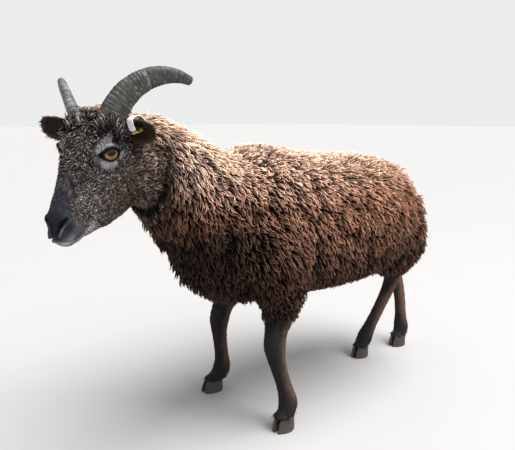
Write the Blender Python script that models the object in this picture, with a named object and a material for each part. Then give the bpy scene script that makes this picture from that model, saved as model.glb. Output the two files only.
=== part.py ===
"""A Soay sheep standing still, life size, in metres with +Z up.

It faces -Y, its left side is towards +X, and it stands on z = 0 on the soles of its eight claws.
The body is lofted through oval sections, dressed in rounded clumps of fleece, and parted by thin cuts
into the pieces that a person would name. Lengths along y are counted from the front hooves.
"""

import math

import bmesh
import bpy
import numpy as np
from mathutils import Matrix, Vector
from mathutils.bvhtree import BVHTree

for old in list(bpy.data.objects):
    bpy.data.objects.remove(old, do_unlink=True)

# Driving sizes. HOME carries the point under the front hooves to its place in the finished frame.
HOME = Vector((0.0, -0.071, 0.0))
GAP = 0.0003
ROOT_GAP = 0.0005
COAT_DEPTH = 0.033
CORE_SHARE = 0.42
BELLY_SHARE = 0.5
CORONET_HEIGHT = 0.027
CUT_SIZE = 2.0

# Clumps of fleece: how far apart they stand, their length and half width for that spacing.
CLUMP_SPACING = 0.052
CLUMP_LENGTH = 1.62
CLUMP_HALF_WIDTH = 0.58
CLUMP_SEED = 7
CLUMP_TRIES = 7000
BODY_TRIANGLES = 8000
COAT_LOWEST = 0.232

# Where the cuts that part the body run.
LEG_DIVIDE = 0.150
CHEST_CUT = (0, -0.085, 0.42)
CHEST_CUT_WAY = (0, 0.86, -0.5)
FORELEG_TOP = 0.236
HINDLEG_TOP = 0.246
THIGH_CUT = -0.0045

# Torso sections: y, middle height, reach above and below it, half width. All are of the bare body.
TORSO = (
    (-0.105, 0.400, 0.085, 0.090, 0.050),
    (-0.060, 0.390, 0.120, 0.112, 0.084),
    (-0.015, 0.380, 0.137, 0.120, 0.104),
    (0.050, 0.370, 0.142, 0.120, 0.118),
    (0.130, 0.365, 0.135, 0.120, 0.130),
    (0.220, 0.365, 0.126, 0.124, 0.137),
    (0.300, 0.368, 0.120, 0.120, 0.134),
    (0.360, 0.373, 0.110, 0.106, 0.120),
    (0.405, 0.376, 0.096, 0.088, 0.102),
    (0.440, 0.380, 0.078, 0.072, 0.082),
    (0.465, 0.384, 0.054, 0.052, 0.058),
)
TORSO_POWERS = (2.2, 2.3)

# Neck sections from the skull back: centre x, y, z, reach above and below, half width.
NECK = (
    (0.028, -0.288, 0.554, 0.034, 0.051, 0.040),
    (0.018, -0.236, 0.528, 0.046, 0.057, 0.048),
    (0.010, -0.180, 0.492, 0.060, 0.060, 0.057),
    (0.003, -0.125, 0.457, 0.068, 0.079, 0.070),
    (0.000, -0.070, 0.425, 0.086, 0.103, 0.084),
    (0.000, -0.010, 0.405, 0.095, 0.100, 0.090),
)

# Legs: the joints of each leg, then the sizes along it, where a whole number is a joint.
FORELEG_JOINTS = {
    "left": (
        (0.070, -0.035, 0.400),
        (0.086, 0.014, 0.275),
        (0.102, -0.014, 0.165),
        (0.112, 0.010, 0.055),
        (0.113, -0.006, 0.014),
    ),
    "right": (
        (-0.070, -0.035, 0.400),
        (-0.082, 0.034, 0.275),
        (-0.096, 0.012, 0.165),
        (-0.106, 0.024, 0.055),
        (-0.113, 0.000, 0.014),
    ),
}
HINDLEG_JOINTS = {
    "left": (
        (0.062, 0.402, 0.400),
        (0.078, 0.385, 0.300),
        (0.012, 0.488, 0.185),
        (-0.008, 0.418, 0.054),
        (-0.010, 0.394, 0.014),
    ),
    "right": (
        (-0.062, 0.412, 0.400),
        (-0.080, 0.405, 0.300),
        (-0.022, 0.546, 0.185),
        (0.006, 0.550, 0.054),
        (0.010, 0.530, 0.014),
    ),
}
# Place along the leg, half width, reach to the front and to the rear.
FORELEG_SIZES = (
    (0.00, 0.050, 0.070, 0.055),
    (0.50, 0.046, 0.052, 0.044),
    (1.00, 0.034, 0.034, 0.024),
    (1.40, 0.026, 0.026, 0.028),
    (1.75, 0.0205, 0.021, 0.022),
    (2.00, 0.0205, 0.021, 0.0190),
    (2.20, 0.0165, 0.017, 0.0165),
    (2.50, 0.0138, 0.0145, 0.0155),
    (2.80, 0.0145, 0.0155, 0.0170),
    (3.00, 0.0172, 0.0170, 0.0200),
    (3.50, 0.0165, 0.0160, 0.0165),
    (4.00, 0.0192, 0.019, 0.0180),
)
HINDLEG_SIZES = (
    (0.00, 0.045, 0.078, 0.042),
    (0.50, 0.050, 0.078, 0.048),
    (1.00, 0.046, 0.060, 0.052),
    (1.35, 0.036, 0.042, 0.042),
    (1.70, 0.0225, 0.026, 0.028),
    (2.00, 0.0165, 0.0195, 0.0250),
    (2.25, 0.0145, 0.0165, 0.0170),
    (2.60, 0.0132, 0.0148, 0.0155),
    (2.85, 0.0145, 0.0155, 0.0175),
    (3.00, 0.0172, 0.0170, 0.0200),
    (3.50, 0.0165, 0.0160, 0.0165),
    (4.00, 0.0192, 0.019, 0.0180),
)
FORELEG_COAT = (0.195, 0.275)
HINDLEG_COAT = (0.235, 0.310)

# The head has its own axes: side to its left, crown out of the forehead, muzzle towards the nose.
HEAD_AT = Vector((0.020, -0.2945, 0.578))
HEAD_TURN = math.radians(29)
HEAD_DROP = math.radians(41.5)
HEAD_TILT = math.radians(3)
# Distance towards the nose, middle, reach above and below it, half width, lean, powers above and below.
HEAD = (
    (0.196, -0.014, 0.018, 0.024, 0.0180, 0.10, 2.1, 2.2),
    (0.186, -0.013, 0.029, 0.031, 0.0226, 0.14, 2.1, 2.2),
    (0.170, -0.012, 0.035, 0.047, 0.0242, 0.16, 2.1, 2.2),
    (0.147, -0.008, 0.038, 0.068, 0.0258, 0.12, 2.2, 2.1),
    (0.120, 0.000, 0.036, 0.096, 0.0294, 0.05, 2.3, 1.9),
    (0.092, 0.014, 0.030, 0.124, 0.0368, 0.00, 2.5, 1.6),
    (0.072, 0.016, 0.033, 0.138, 0.0410, 0.00, 2.6, 1.55),
    (0.050, 0.010, 0.042, 0.140, 0.0432, 0.00, 2.6, 1.6),
    (0.025, 0.000, 0.052, 0.136, 0.0430, 0.00, 2.4, 1.8),
    (0.000, -0.008, 0.046, 0.112, 0.0405, 0.00, 2.2, 2.0),
    (-0.015, -0.010, 0.034, 0.080, 0.0330, 0.00, 2.1, 2.1),
)
NOSE_ROUNDING = 0.014
POLL_ROUNDING = 0.012

EYE_AT = (0.0324, 0.022, 0.070)
EYE_RADIUS = 0.0142
EYE_LOOKS = Vector((0.84, 0.24, 0.48)).normalized()
LID_THICKNESS = 0.0026
LID_OPENING = (0.0130, 0.0080)
LID_SLOPE = math.radians(28)

# Mouth and nostrils are laid on the muzzle by rays that fan out from a point inside it.
MUZZLE_CENTRE = 0.150
MOUTH_REACH = math.radians(76)
MOUTH_LEVEL = -0.0225
MOUTH_PEAK = 0.0145
MOUTH_PEAK_WIDTH = math.radians(14)
LIP_RADIUS = 0.0034
MOUTH_DEPTH = 0.0035
MOUTH_WIDTH = 0.0011
# Along each nostril: degrees outward, height, and radius of the opening.
NOSTRIL = (
    (3.5, -0.0010, 0.0015),
    (6, 0.0025, 0.0024),
    (11, 0.0065, 0.0030),
    (17, 0.0100, 0.0026),
    (24, 0.0118, 0.0012),
)
NOSTRIL_RIM = 0.0022

# Horns: where each is rooted on the head, how far its plane turns outward and leans, its arc and sizes.
HORNS = {
    "left": {
        "root": (0.029, 0.047, 0.029),
        "outward": 38,
        "lean": 12,
        "radius": 0.092,
        "arc": (10, 112),
        "taper": 0.24,
    },
    "right": {
        "root": (-0.028, 0.047, 0.028),
        "outward": 34,
        "lean": 23,
        "radius": 0.085,
        "arc": (4, 51),
        "taper": 0.78,
    },
}
HORN_THICK = 0.0105
HORN_WIDE = 0.0225
HORN_SINK = 0.009
SPLIT_DEPTH = 0.009
SPLIT_WIDTH = 0.0016

# Ears: root and tip on the head, half width, and the wall.
EAR_ROOT = (0.033, 0.006, 0.010)
EAR_TIPS = {"left": (0.089, 0.028, 0.020), "right": (-0.103, 0.024, 0.021)}
EAR_OPENING = (0.35, 0.25, 0.80)
EAR_HALF_WIDTH = 0.021
EAR_WALL = 0.0034

# The tag's loop on the left ear: points up across the ear and out of its cup, part way along the ear.
TAG_PLACE = 0.57
TAG_WHITE = (
    (-0.0030, -0.0112),
    (0.0085, -0.0116),
    (0.0175, -0.0092),
    (0.0226, -0.0030),
    (0.0240, 0.0035),
    (0.0232, 0.0088),
    (0.0150, 0.0132),
    (0.0075, 0.0140),
)
TAG_YELLOW = ((0.0060, 0.0143), (0.0036, 0.0138), (0.0016, 0.0100), (0.0008, 0.0055), (0.0008, 0.0010))
TAG_TWIST = math.radians(16)
TAG_WIDTH = 0.0105
TAG_THICK = 0.0016
TAG_PIN = 0.0016

# The tail: its line from inside the rump, and its half widths.
TAIL_LINE = (
    (0.0, 0.455, 0.452),
    (0.0, 0.500, 0.446),
    (0.0, 0.527, 0.412),
    (0.0, 0.534, 0.370),
    (0.0, 0.531, 0.335),
)
TAIL_WIDTH = 0.020
TAIL_TIP_WIDTH = 0.0075

# Claws: each foot's middle on the floor and the way it points.
FEET = {
    "claw_front_left": (0.113, 0.000, 8),
    "claw_front_right": (-0.113, 0.004, -4),
    "claw_hind_left": (-0.010, 0.398, 2),
    "claw_hind_right": (0.010, 0.532, -2),
}
CLAW_WIDTH = 0.0185
CLAW_CLEFT = 0.0018
CLAW_HEIGHT = 0.027
CLAW_SOLE = 0.047
CLAW_TOP = 0.036


def parts_collection(name, hidden=False):
    made = bpy.data.collections.new(name)
    made.hide_render = hidden
    bpy.context.scene.collection.children.link(made)
    return made


SHEEP = parts_collection("soay_sheep")


def material(name, colour, roughness, metallic=0.0):
    made = bpy.data.materials.new(name)
    made.use_nodes = True
    shader = made.node_tree.nodes["Principled BSDF"]
    shader.inputs["Base Color"].default_value = (*colour, 1.0)
    shader.inputs["Roughness"].default_value = roughness
    shader.inputs["Metallic"].default_value = metallic
    return made


FLEECE = material("fleece", (0.135, 0.075, 0.050), 0.9)
FACE = material("face_hair", (0.060, 0.050, 0.047), 0.85)
LEG_HAIR = material("leg_hair", (0.040, 0.025, 0.020), 0.85)
HORN = material("horn", (0.120, 0.110, 0.095), 0.5)
CLAW = material("claw", (0.050, 0.045, 0.040), 0.6)
IRIS = material("eye", (0.350, 0.170, 0.050), 0.1)
TAG_PALE = material("tag_white", (0.800, 0.800, 0.820), 0.45)
TAG_BRIGHT = material("tag_yellow", (0.560, 0.400, 0.060), 0.45)


def smooth_rows(rows, at):
    """Rows of sizes, each led by its place, read at other places along a smooth curve."""
    table = np.array(rows, float)
    keys, values = table[:, 0], table[:, 1:]
    slopes = np.gradient(values, keys, axis=0)
    at = np.clip(np.asarray(at, float), keys[0], keys[-1])
    index = np.clip(np.searchsorted(keys, at) - 1, 0, len(keys) - 2)
    span = (keys[index + 1] - keys[index])[:, None]
    t = (at[:, None] - keys[index][:, None]) / span
    return (
        values[index] * (2 * t**3 - 3 * t**2 + 1)
        + slopes[index] * span * (t**3 - 2 * t**2 + t)
        + values[index + 1] * (3 * t**2 - 2 * t**3)
        + slopes[index + 1] * span * (t**3 - t**2)
    )


def numbered(points):
    """Points led by their own count, so that smooth_rows can run through them."""
    return [(i, *p) for i, p in enumerate(points)]


def smooth_step(value, low, high):
    t = np.clip((np.asarray(value, float) - low) / (high - low), 0, 1)
    return t * t * (3 - 2 * t)


def oval(half_width, above, below, powers, sides):
    """Rings of points (across, over) on ovals, one ring for each row of sizes."""
    turn = np.arange(sides) * 2 * math.pi / sides
    cos, sin = np.cos(turn)[None, :], np.sin(turn)[None, :]
    power = np.where(sin >= 0, np.asarray(powers[0])[..., None], np.asarray(powers[1])[..., None])
    across = np.sign(cos) * np.abs(cos) ** (2 / power) * half_width[:, None]
    reach = np.where(sin >= 0, above[:, None], below[:, None])
    return across, np.sign(sin) * np.abs(sin) ** (2 / power) * reach


def unit(vectors):
    return vectors / np.linalg.norm(vectors, axis=-1, keepdims=True)


def sweep(centres, side, half_width, above, below, powers, sides):
    """Oval rings square to a line of centres. Side points to the ring's across direction."""
    along = unit(np.gradient(centres, axis=0))
    side = np.broadcast_to(np.asarray(side, float), centres.shape)
    across = unit(side - along * (side * along).sum(1, keepdims=True))
    over = np.cross(across, along)
    x, z = oval(half_width, above, below, powers, sides)
    return centres[:, None] + across[:, None] * x[..., None] + over[:, None] * z[..., None]


def rounded(rings, length, first=False, steps=3):
    """The rings with a rounded end of that length added at the last ring, or at the first."""
    if first:
        return rounded(rings[::-1], length, steps=steps)[::-1]
    centre = rings[-1].mean(0)
    along = unit(np.cross(rings[-1][1] - rings[-1][0], rings[-1][2] - rings[-1][1]))
    along = along * np.sign(along @ (centre - rings[-2].mean(0)))
    turns = np.linspace(0, math.pi / 2, steps + 2)[1:-1]
    more = [centre + (rings[-1] - centre) * math.cos(a) + along * length * math.sin(a) for a in turns]
    return np.concatenate([rings, more])


def closed_mesh(name, rings):
    """A closed mesh over a stack of rings, with a flat face on each end."""
    count, sides = rings.shape[:2]
    bm = bmesh.new()
    rows = [[bm.verts.new(p) for p in ring] for ring in rings]
    for low, high in zip(rows[:-1], rows[1:]):
        for i in range(sides):
            j = (i + 1) % sides
            bm.faces.new((low[i], low[j], high[j]))
            bm.faces.new((low[i], high[j], high[i]))
    bm.faces.new(rows[0])
    bm.faces.new(rows[-1][::-1])
    bmesh.ops.recalc_face_normals(bm, faces=bm.faces)
    bmesh.ops.triangulate(bm, faces=bm.faces)
    mesh = bpy.data.meshes.new(name)
    bm.to_mesh(mesh)
    bm.free()
    return mesh


def added(name, mesh, finish=None):
    made = bpy.data.objects.new(name, mesh)
    SHEEP.objects.link(made)
    if finish:
        made.data.materials.clear()
        made.data.materials.append(finish)
    return made


def evaluated_mesh(obj):
    bpy.context.view_layer.update()
    graph = bpy.context.evaluated_depsgraph_get()
    return bpy.data.meshes.new_from_object(obj.evaluated_get(graph))


def apply_all(obj):
    """Makes the object's modified mesh its own."""
    mesh = evaluated_mesh(obj)
    obj.modifiers.clear()
    obj.data = mesh
    return obj


def combined(obj, others, operation="UNION", keep_others=False, solver="MANIFOLD"):
    """Joins a collection of closed meshes to obj, or cuts obj by them."""
    group = bpy.data.collections.new("working")
    bpy.context.scene.collection.children.link(group)
    for other in others:
        group.objects.link(other)
    change = obj.modifiers.new("combine", "BOOLEAN")
    change.operation = operation
    change.operand_type = "COLLECTION"
    change.collection = group
    change.solver = solver
    apply_all(obj)
    for other in others:
        group.objects.unlink(other)
        if not keep_others:
            bpy.data.objects.remove(other, do_unlink=True)
    bpy.data.collections.remove(group)
    return obj


def simplified(obj, triangles):
    """Merges the slivers that a union leaves, down to about that many triangles."""
    count = sum(len(p.vertices) - 2 for p in obj.data.polygons)
    change = obj.modifiers.new("simplify", "DECIMATE")
    change.ratio = min(1, triangles / count)
    return apply_all(obj)


def keep_largest(obj):
    """Leaves the object only its largest closed surface."""
    bm = bmesh.new()
    bm.from_mesh(obj.data)
    bm.verts.ensure_lookup_table()
    seen, shells = set(), []
    for start in bm.verts:
        if start in seen:
            continue
        shell, edge = [], [start]
        seen.add(start)
        while edge:
            vertex = edge.pop()
            shell.append(vertex)
            for link in vertex.link_edges:
                other = link.other_vert(vertex)
                if other not in seen:
                    seen.add(other)
                    edge.append(other)
        shells.append(shell)

    def extent(shell):
        points = np.array([v.co for v in shell])
        return float(np.prod(np.ptp(points, axis=0)))

    shells.sort(key=extent)
    loose = [v for shell in shells[:-1] for v in shell]
    bmesh.ops.delete(bm, geom=loose, context="VERTS")
    bm.to_mesh(obj.data)
    bm.free()
    return obj


def block(low, high, turn=None, at=None):
    """A cutting box from corner to corner, which may be turned and moved."""
    low, high = Vector(low), Vector(high)
    bm = bmesh.new()
    bmesh.ops.create_cube(bm, size=1.0)
    bmesh.ops.scale(bm, vec=high - low, verts=bm.verts)
    bmesh.ops.translate(bm, vec=(low + high) / 2, verts=bm.verts)
    if turn is not None:
        bmesh.ops.transform(bm, matrix=turn, verts=bm.verts)
    if at is not None:
        bmesh.ops.translate(bm, vec=at, verts=bm.verts)
    mesh = bpy.data.meshes.new("block")
    bm.to_mesh(mesh)
    bm.free()
    return added("block", mesh)


# The body under the coat.


def coat_at(z, coat_ends):
    """Depth of the coat's core, which runs out down the legs."""
    return COAT_DEPTH * CORE_SHARE * smooth_step(z, *coat_ends)


def torso_rings(count=12, sides=20):
    at = np.linspace(TORSO[0][0], TORSO[-1][0], count)
    middle, above, below, half_width = smooth_rows(TORSO, at).T
    coat = COAT_DEPTH * CORE_SHARE
    centres = np.stack([np.zeros(count), at, middle], 1)
    powers = np.full((2, count), TORSO_POWERS[0])
    powers[1] = TORSO_POWERS[1]
    below = below + coat * BELLY_SHARE
    rings = sweep(centres, (1, 0, 0), half_width + coat, above + coat, below, powers, sides)
    return rounded(rounded(rings, 0.03 + coat / 2, first=True), 0.012 + coat)


def neck_rings(count=8, sides=16):
    rows = smooth_rows(numbered(NECK), np.linspace(0, len(NECK) - 1, count))
    coat = COAT_DEPTH * CORE_SHARE * smooth_step(rows[:, 1], -0.31, -0.25)
    powers = np.full((2, count), 2.1)
    above, below, half_width = rows[:, 3:].T + coat
    return sweep(rows[:, :3], (1, 0, 0), half_width, above, below, powers, sides)


def leg_rings(joints, sizes, coat_ends, count=15, sides=12):
    """Rings from the top of a leg down into the claws."""
    at = np.linspace(0, len(joints) - 1, count)
    centres = smooth_rows(numbered(joints), at)
    half_width, front, rear = smooth_rows(sizes, at).T
    coat = coat_at(centres[:, 2], coat_ends)
    powers = np.full((2, count), 2.2)
    half_width, front = half_width + coat * 0.8, front + coat * 0.8
    return sweep(centres, (1, 0, 0), half_width, rear + coat, front, powers, sides)


def head_axes():
    """Side, crown and muzzle directions of the head, as columns."""
    forward = Vector((math.sin(HEAD_TURN), -math.cos(HEAD_TURN), 0))
    side = Vector((math.cos(HEAD_TURN), math.sin(HEAD_TURN), 0))
    muzzle = forward * math.cos(HEAD_DROP) - Vector((0, 0, math.sin(HEAD_DROP)))
    crown = muzzle.cross(side)
    tilt = Matrix.Rotation(-HEAD_TILT, 3, muzzle)
    return tilt @ side, tilt @ crown, muzzle


SIDE, CROWN, MUZZLE = head_axes()


def on_head(side, crown, muzzle):
    """The body-frame point with these head coordinates."""
    return HEAD_AT + SIDE * side + CROWN * crown + MUZZLE * muzzle


def head_direction(vector):
    return (SIDE * vector[0] + CROWN * vector[1] + MUZZLE * vector[2]).normalized()


NECK_CUT = on_head(0, -0.03, 0.004)
NECK_CUT_WAY = head_direction((0, -0.42, -1))


def head_rings(count=20, sides=24):
    table = HEAD[::-1]
    at = np.linspace(table[0][0], table[-1][0], count)[::-1]
    middle, above, below, half_width, lean, power_above, power_below = smooth_rows(table, at).T
    x, z = oval(half_width, above, below, np.stack([power_above, power_below]), sides)
    rings = np.stack([x, z + middle[:, None], at[:, None] + lean[:, None] * z], -1)
    rings = rounded(rounded(rings, NOSE_ROUNDING, first=True), POLL_ROUNDING)
    axes = np.array([SIDE, CROWN, MUZZLE])
    return rings @ axes + np.array(HEAD_AT)


def whole_body():
    """Torso, neck, legs and head joined into one closed body."""
    body = added("body", closed_mesh("body", torso_rings()))
    pieces = [added("neck_core", closed_mesh("neck_core", neck_rings()))]
    for side in ("left", "right"):
        fore = leg_rings(FORELEG_JOINTS[side], FORELEG_SIZES, FORELEG_COAT)
        hind = leg_rings(HINDLEG_JOINTS[side], HINDLEG_SIZES, HINDLEG_COAT)
        pieces.append(added("fore", closed_mesh("fore", fore)))
        pieces.append(added("hind", closed_mesh("hind", hind)))
    pieces.append(added("skull", closed_mesh("skull", head_rings())))
    return combined(body, pieces)


body = whole_body()

# The fleece in clumps, each a fat lock that springs from the core and bends over along its lie.


def lie_at(normals, points):
    """The way that the wool lies: down and back, and away from the spine."""
    way = np.zeros_like(normals)
    way[:, 0] = 0.5 * np.sign(points[:, 0]) * smooth_step(normals[:, 2], 0.3, 1.0)
    way[:, 1] = 0.55
    way[:, 2] = -1.0
    way -= normals * (way * normals).sum(1, keepdims=True)
    return unit(way)


def depth_at(normals, points):
    """How far the tips of the wool stand out from the bare body."""
    under = smooth_step(-normals[:, 2], 0.35, 0.9) * smooth_step(points[:, 1], -0.10, 0.02)
    near_head = 1 - smooth_step(points[:, 1], -0.285, -0.20)
    low = smooth_step(points[:, 2], COAT_LOWEST - 0.02, COAT_LOWEST + 0.05)
    return COAT_DEPTH * (1 - (1 - BELLY_SHARE) * under) * (1 - 0.45 * near_head) * (0.45 + 0.55 * low)


def coat_places(mesh, rng):
    """Evenly spaced places on the coated part of the core, with the surface's normal at each."""
    mesh.calc_loop_triangles()
    points = np.array([v.co for v in mesh.vertices])
    corners = points[np.array([t.vertices for t in mesh.loop_triangles])]
    cross = np.cross(corners[:, 1] - corners[:, 0], corners[:, 2] - corners[:, 0])
    area = np.linalg.norm(cross, axis=1)
    picked = rng.choice(len(area), CLUMP_TRIES, p=area / area.sum())
    a, b = rng.random((2, CLUMP_TRIES, 1))
    a, b = np.where(a + b > 1, 1 - a, a), np.where(a + b > 1, 1 - b, b)
    c = corners[picked]
    tried = c[:, 0] + a * (c[:, 1] - c[:, 0]) + b * (c[:, 2] - c[:, 0])
    normals = cross[picked] / area[picked, None]
    behind_head = (tried - np.array(NECK_CUT)) @ np.array(NECK_CUT_WAY) > 0.006
    coated = (tried[:, 2] > COAT_LOWEST) & behind_head
    places, ways = [], []
    for point, normal in zip(tried[coated], normals[coated]):
        if all(np.linalg.norm(point - other) > CLUMP_SPACING for other in places):
            places.append(point)
            ways.append(normal)
    return np.array(places), np.array(ways)


def clump_rings(place, normal, lie, depth, rng):
    """One clump from its sunk root to its rounded tip."""
    size = CLUMP_SPACING * rng.uniform(0.92, 1.12)
    beside = np.cross(normal, lie)
    turn = rng.uniform(-0.28, 0.28)
    lie = lie * math.cos(turn) + beside * math.sin(turn)
    beside = np.cross(normal, lie)
    bend = rng.uniform(-0.12, 0.12)
    rise = depth * (1 - CORE_SHARE) * rng.uniform(0.9, 1.05)
    length, half_width = size * CLUMP_LENGTH, size * CLUMP_HALF_WIDTH
    rings = []
    for t, height, wide, thick in (
        (0.00, -0.50, 0.60, 0.50),
        (0.34, 0.02, 1.00, 1.12),
        (0.78, 0.08, 0.88, 1.06),
        (1.00, 0.02, 0.42, 0.52),
    ):
        centre = place + lie * length * (t - 0.42) + normal * rise * height + beside * bend * size * t * t
        ring = []
        for i in range(6):
            a = i * math.pi / 3
            out = beside * math.cos(a) * half_width * wide + normal * math.sin(a) * rise * thick * 1.15
            ring.append(centre + out)
        rings.append(ring)
    return np.array(rings)


def clumps(core):
    """All clumps of the coat, as closed meshes."""
    rng = np.random.default_rng(CLUMP_SEED)
    places, normals = coat_places(core.data, rng)
    lies = lie_at(normals, places)
    depths = depth_at(normals, places)
    made = []
    for place, normal, lie, depth in zip(places, normals, lies, depths):
        rings = clump_rings(place, normal, lie, depth, rng)
        made.append(added("clump", closed_mesh("clump", rings)))
    return made


# Horns, ears, eyes, claws, tail.


def horn_rings(name, grow=0.0, count=20, sides=12):
    """A horn's rings along its arc, from its sunk root to its blunt tip."""
    shape = HORNS[name]
    sign = 1 if name == "left" else -1
    forward = Vector((math.sin(HEAD_TURN), -math.cos(HEAD_TURN), 0))
    side = Vector((math.cos(HEAD_TURN), math.sin(HEAD_TURN), 0)) * sign
    outward, lean = math.radians(shape["outward"]), math.radians(shape["lean"])
    run = side * math.sin(outward) - forward * math.cos(outward)
    rise = Vector((0, 0, 1)) * math.cos(lean) + side * math.sin(lean)
    rise = (rise - run * rise.dot(run)).normalized()
    first, last = (math.radians(a) for a in shape["arc"])
    radius = shape["radius"]
    root = on_head(*shape["root"]) - rise * HORN_SINK
    turns = np.linspace(first, last, count)
    if grow:
        turns = np.append(first - 3 * grow / radius, turns)
    centres = [
        root + (rise * (math.sin(a) - math.sin(first)) + run * (math.cos(first) - math.cos(a))) * radius
        for a in turns
    ]
    centres = np.array(centres)
    along = np.maximum(turns - first, 0) / math.radians(105)
    taper = 1 - shape["taper"] * along - 0.47 * along**2.2
    ripple = 1 + 0.022 * np.cos(along * 2 * math.pi * 9)
    wide = (HORN_WIDE * taper + grow) * ripple
    thick = (HORN_THICK * (1 - (shape["taper"] - 0.08) * along - 0.3 * along**2) + grow) * ripple
    flat = np.cross(rise, run)
    powers = np.full((2, len(turns)), 2.3)
    rings = sweep(centres, flat, thick, wide, wide, powers, sides)
    return rounded(rings, float(wide[-1]) * 0.7)


def horn_split(rings):
    """The split in a horn's worn end: an open wedge through its thickness, off to one side."""
    whole = rings[:-4]
    tip, ring = whole[-1].mean(0), whole[-1]
    along = unit(tip - whole[-3].mean(0))
    wide = ring[np.argmax(np.linalg.norm(ring - tip, axis=1))] - tip
    flat = np.cross(along, unit(wide)) * 0.03
    stations = []
    for reach, opening in ((-SPLIT_DEPTH, 0.0002), (SPLIT_DEPTH * 2, SPLIT_WIDTH * 1.5)):
        middle = tip + along * reach + wide * (0.30 + 0.5 * reach / SPLIT_DEPTH * 0.2)
        half = unit(wide) * opening
        near, far = (middle - half, middle + half)
        stations.append([near - flat, near + flat, far + flat, far - flat])
    return added("split", closed_mesh("split", np.array(stations)))


def ear_frame(side):
    """An ear's root, its length, and the directions along it, up across it and out of its cup."""
    sign = 1 if side == "left" else -1
    root = np.array(on_head(sign * EAR_ROOT[0], EAR_ROOT[1], EAR_ROOT[2]))
    tip = np.array(on_head(*EAR_TIPS[side]))
    along = unit(tip - root)
    opening = np.array(head_direction((sign * EAR_OPENING[0], EAR_OPENING[1], EAR_OPENING[2])))
    opening = unit(opening - along * (opening @ along))
    return root, np.linalg.norm(tip - root), along, np.cross(opening, along) * sign, opening


def ear_rings(side, grow=0.0, count=9, half_sides=6):
    """A cupped ear as flattened crescents along a line from its root to its tip."""
    root, length, along, across, opening = ear_frame(side)
    ramp = np.linspace(-1, 1, half_sides)
    u = np.concatenate([ramp, ramp[::-1]])
    face = np.concatenate([np.ones(half_sides), -np.ones(half_sides)])
    rings = []
    places = np.linspace(0, 1, count)
    for t in np.append(-3 * grow / length, places) if grow else places:
        half = EAR_HALF_WIDTH * (0.42 + 0.58 * math.sin(math.pi * min(max(t, 0), 0.62) / 1.24))
        if t > 0.62:
            half *= math.sqrt(max(1 - ((t - 0.62) / 0.385) ** 2.4, 0.02))
        cup = half * (0.85 - 0.45 * t)
        wall = (EAR_WALL + grow * 2) * (1.25 - 0.35 * t)
        over = cup * ((u * (half + grow) / half) ** 2 - 0.4) + face * wall / 2 * np.sqrt(1 - 0.6 * u * u)
        centre = root + along * length * t
        rings.append(centre + np.outer(u * (half + grow), across) + np.outer(over, opening))
    return np.array(rings)


def claw_rings(x, y, degrees, inner):
    """One claw of a foot, from its flat sole up to the coronet."""
    turn = math.radians(degrees)
    ahead = np.array((math.sin(turn), -math.cos(turn), 0))
    beside = np.array((math.cos(turn), math.sin(turn), 0))
    rings = []
    for height, length, heel in ((0, 1, 0), (0.4, 0.95, 0.2), (0.75, 0.87, 0.6), (1, 0.78, 1)):
        back, front = -0.021 + heel * 0.001, CLAW_SOLE * length - 0.021
        middle, reach = (front + back) / 2, (front - back) / 2
        ring = []
        for i in range(12):
            a = i * math.pi / 6
            wide = CLAW_WIDTH * (1 - 0.06 * height) * (0.5 + 0.5 * math.cos(a))
            nose = math.sin(a)
            narrow = 1 - 0.45 * max(nose, 0) ** 2 - 0.2 * max(-nose, 0) ** 2
            offset = CLAW_CLEFT / 2 + wide * narrow
            place = beside * (offset if inner else -offset) + ahead * (middle + reach * nose)
            ring.append(np.array((x, y, height * CLAW_HEIGHT)) + place)
        rings.append(ring)
    return np.array(rings)


def ball(centre, radius, sign, rings=8, sides=12):
    bm = bmesh.new()
    bmesh.ops.create_uvsphere(bm, u_segments=sides, v_segments=rings, radius=radius)
    look = head_direction((sign * EYE_LOOKS[0], EYE_LOOKS[1], EYE_LOOKS[2]))
    turn = Vector((0, 0, 1)).rotation_difference(look)
    bmesh.ops.transform(bm, matrix=turn.to_matrix().to_4x4(), verts=bm.verts)
    bmesh.ops.translate(bm, vec=centre, verts=bm.verts)
    mesh = bpy.data.meshes.new("ball")
    bm.to_mesh(mesh)
    bm.free()
    return mesh


def beyond(point, direction, offset):
    """A large cutting block that fills the space beyond a plane."""
    direction = Vector(direction).normalized()
    turn = Vector((0, 0, 1)).rotation_difference(direction).to_matrix().to_4x4()
    size = CUT_SIZE / 2
    start = Vector(point) + direction * offset
    return block((-size, -size, 0), (size, size, CUT_SIZE), turn, start)


def parted(obj, point, direction, name):
    """Cuts off what lies beyond a plane, and returns it as a new object of that name."""
    other = added(name, obj.data.copy())
    combined(obj, [beyond(point, direction, -GAP / 2)], "DIFFERENCE")
    combined(other, [beyond(point, -Vector(direction), -GAP / 2)], "DIFFERENCE")
    return other


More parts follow.
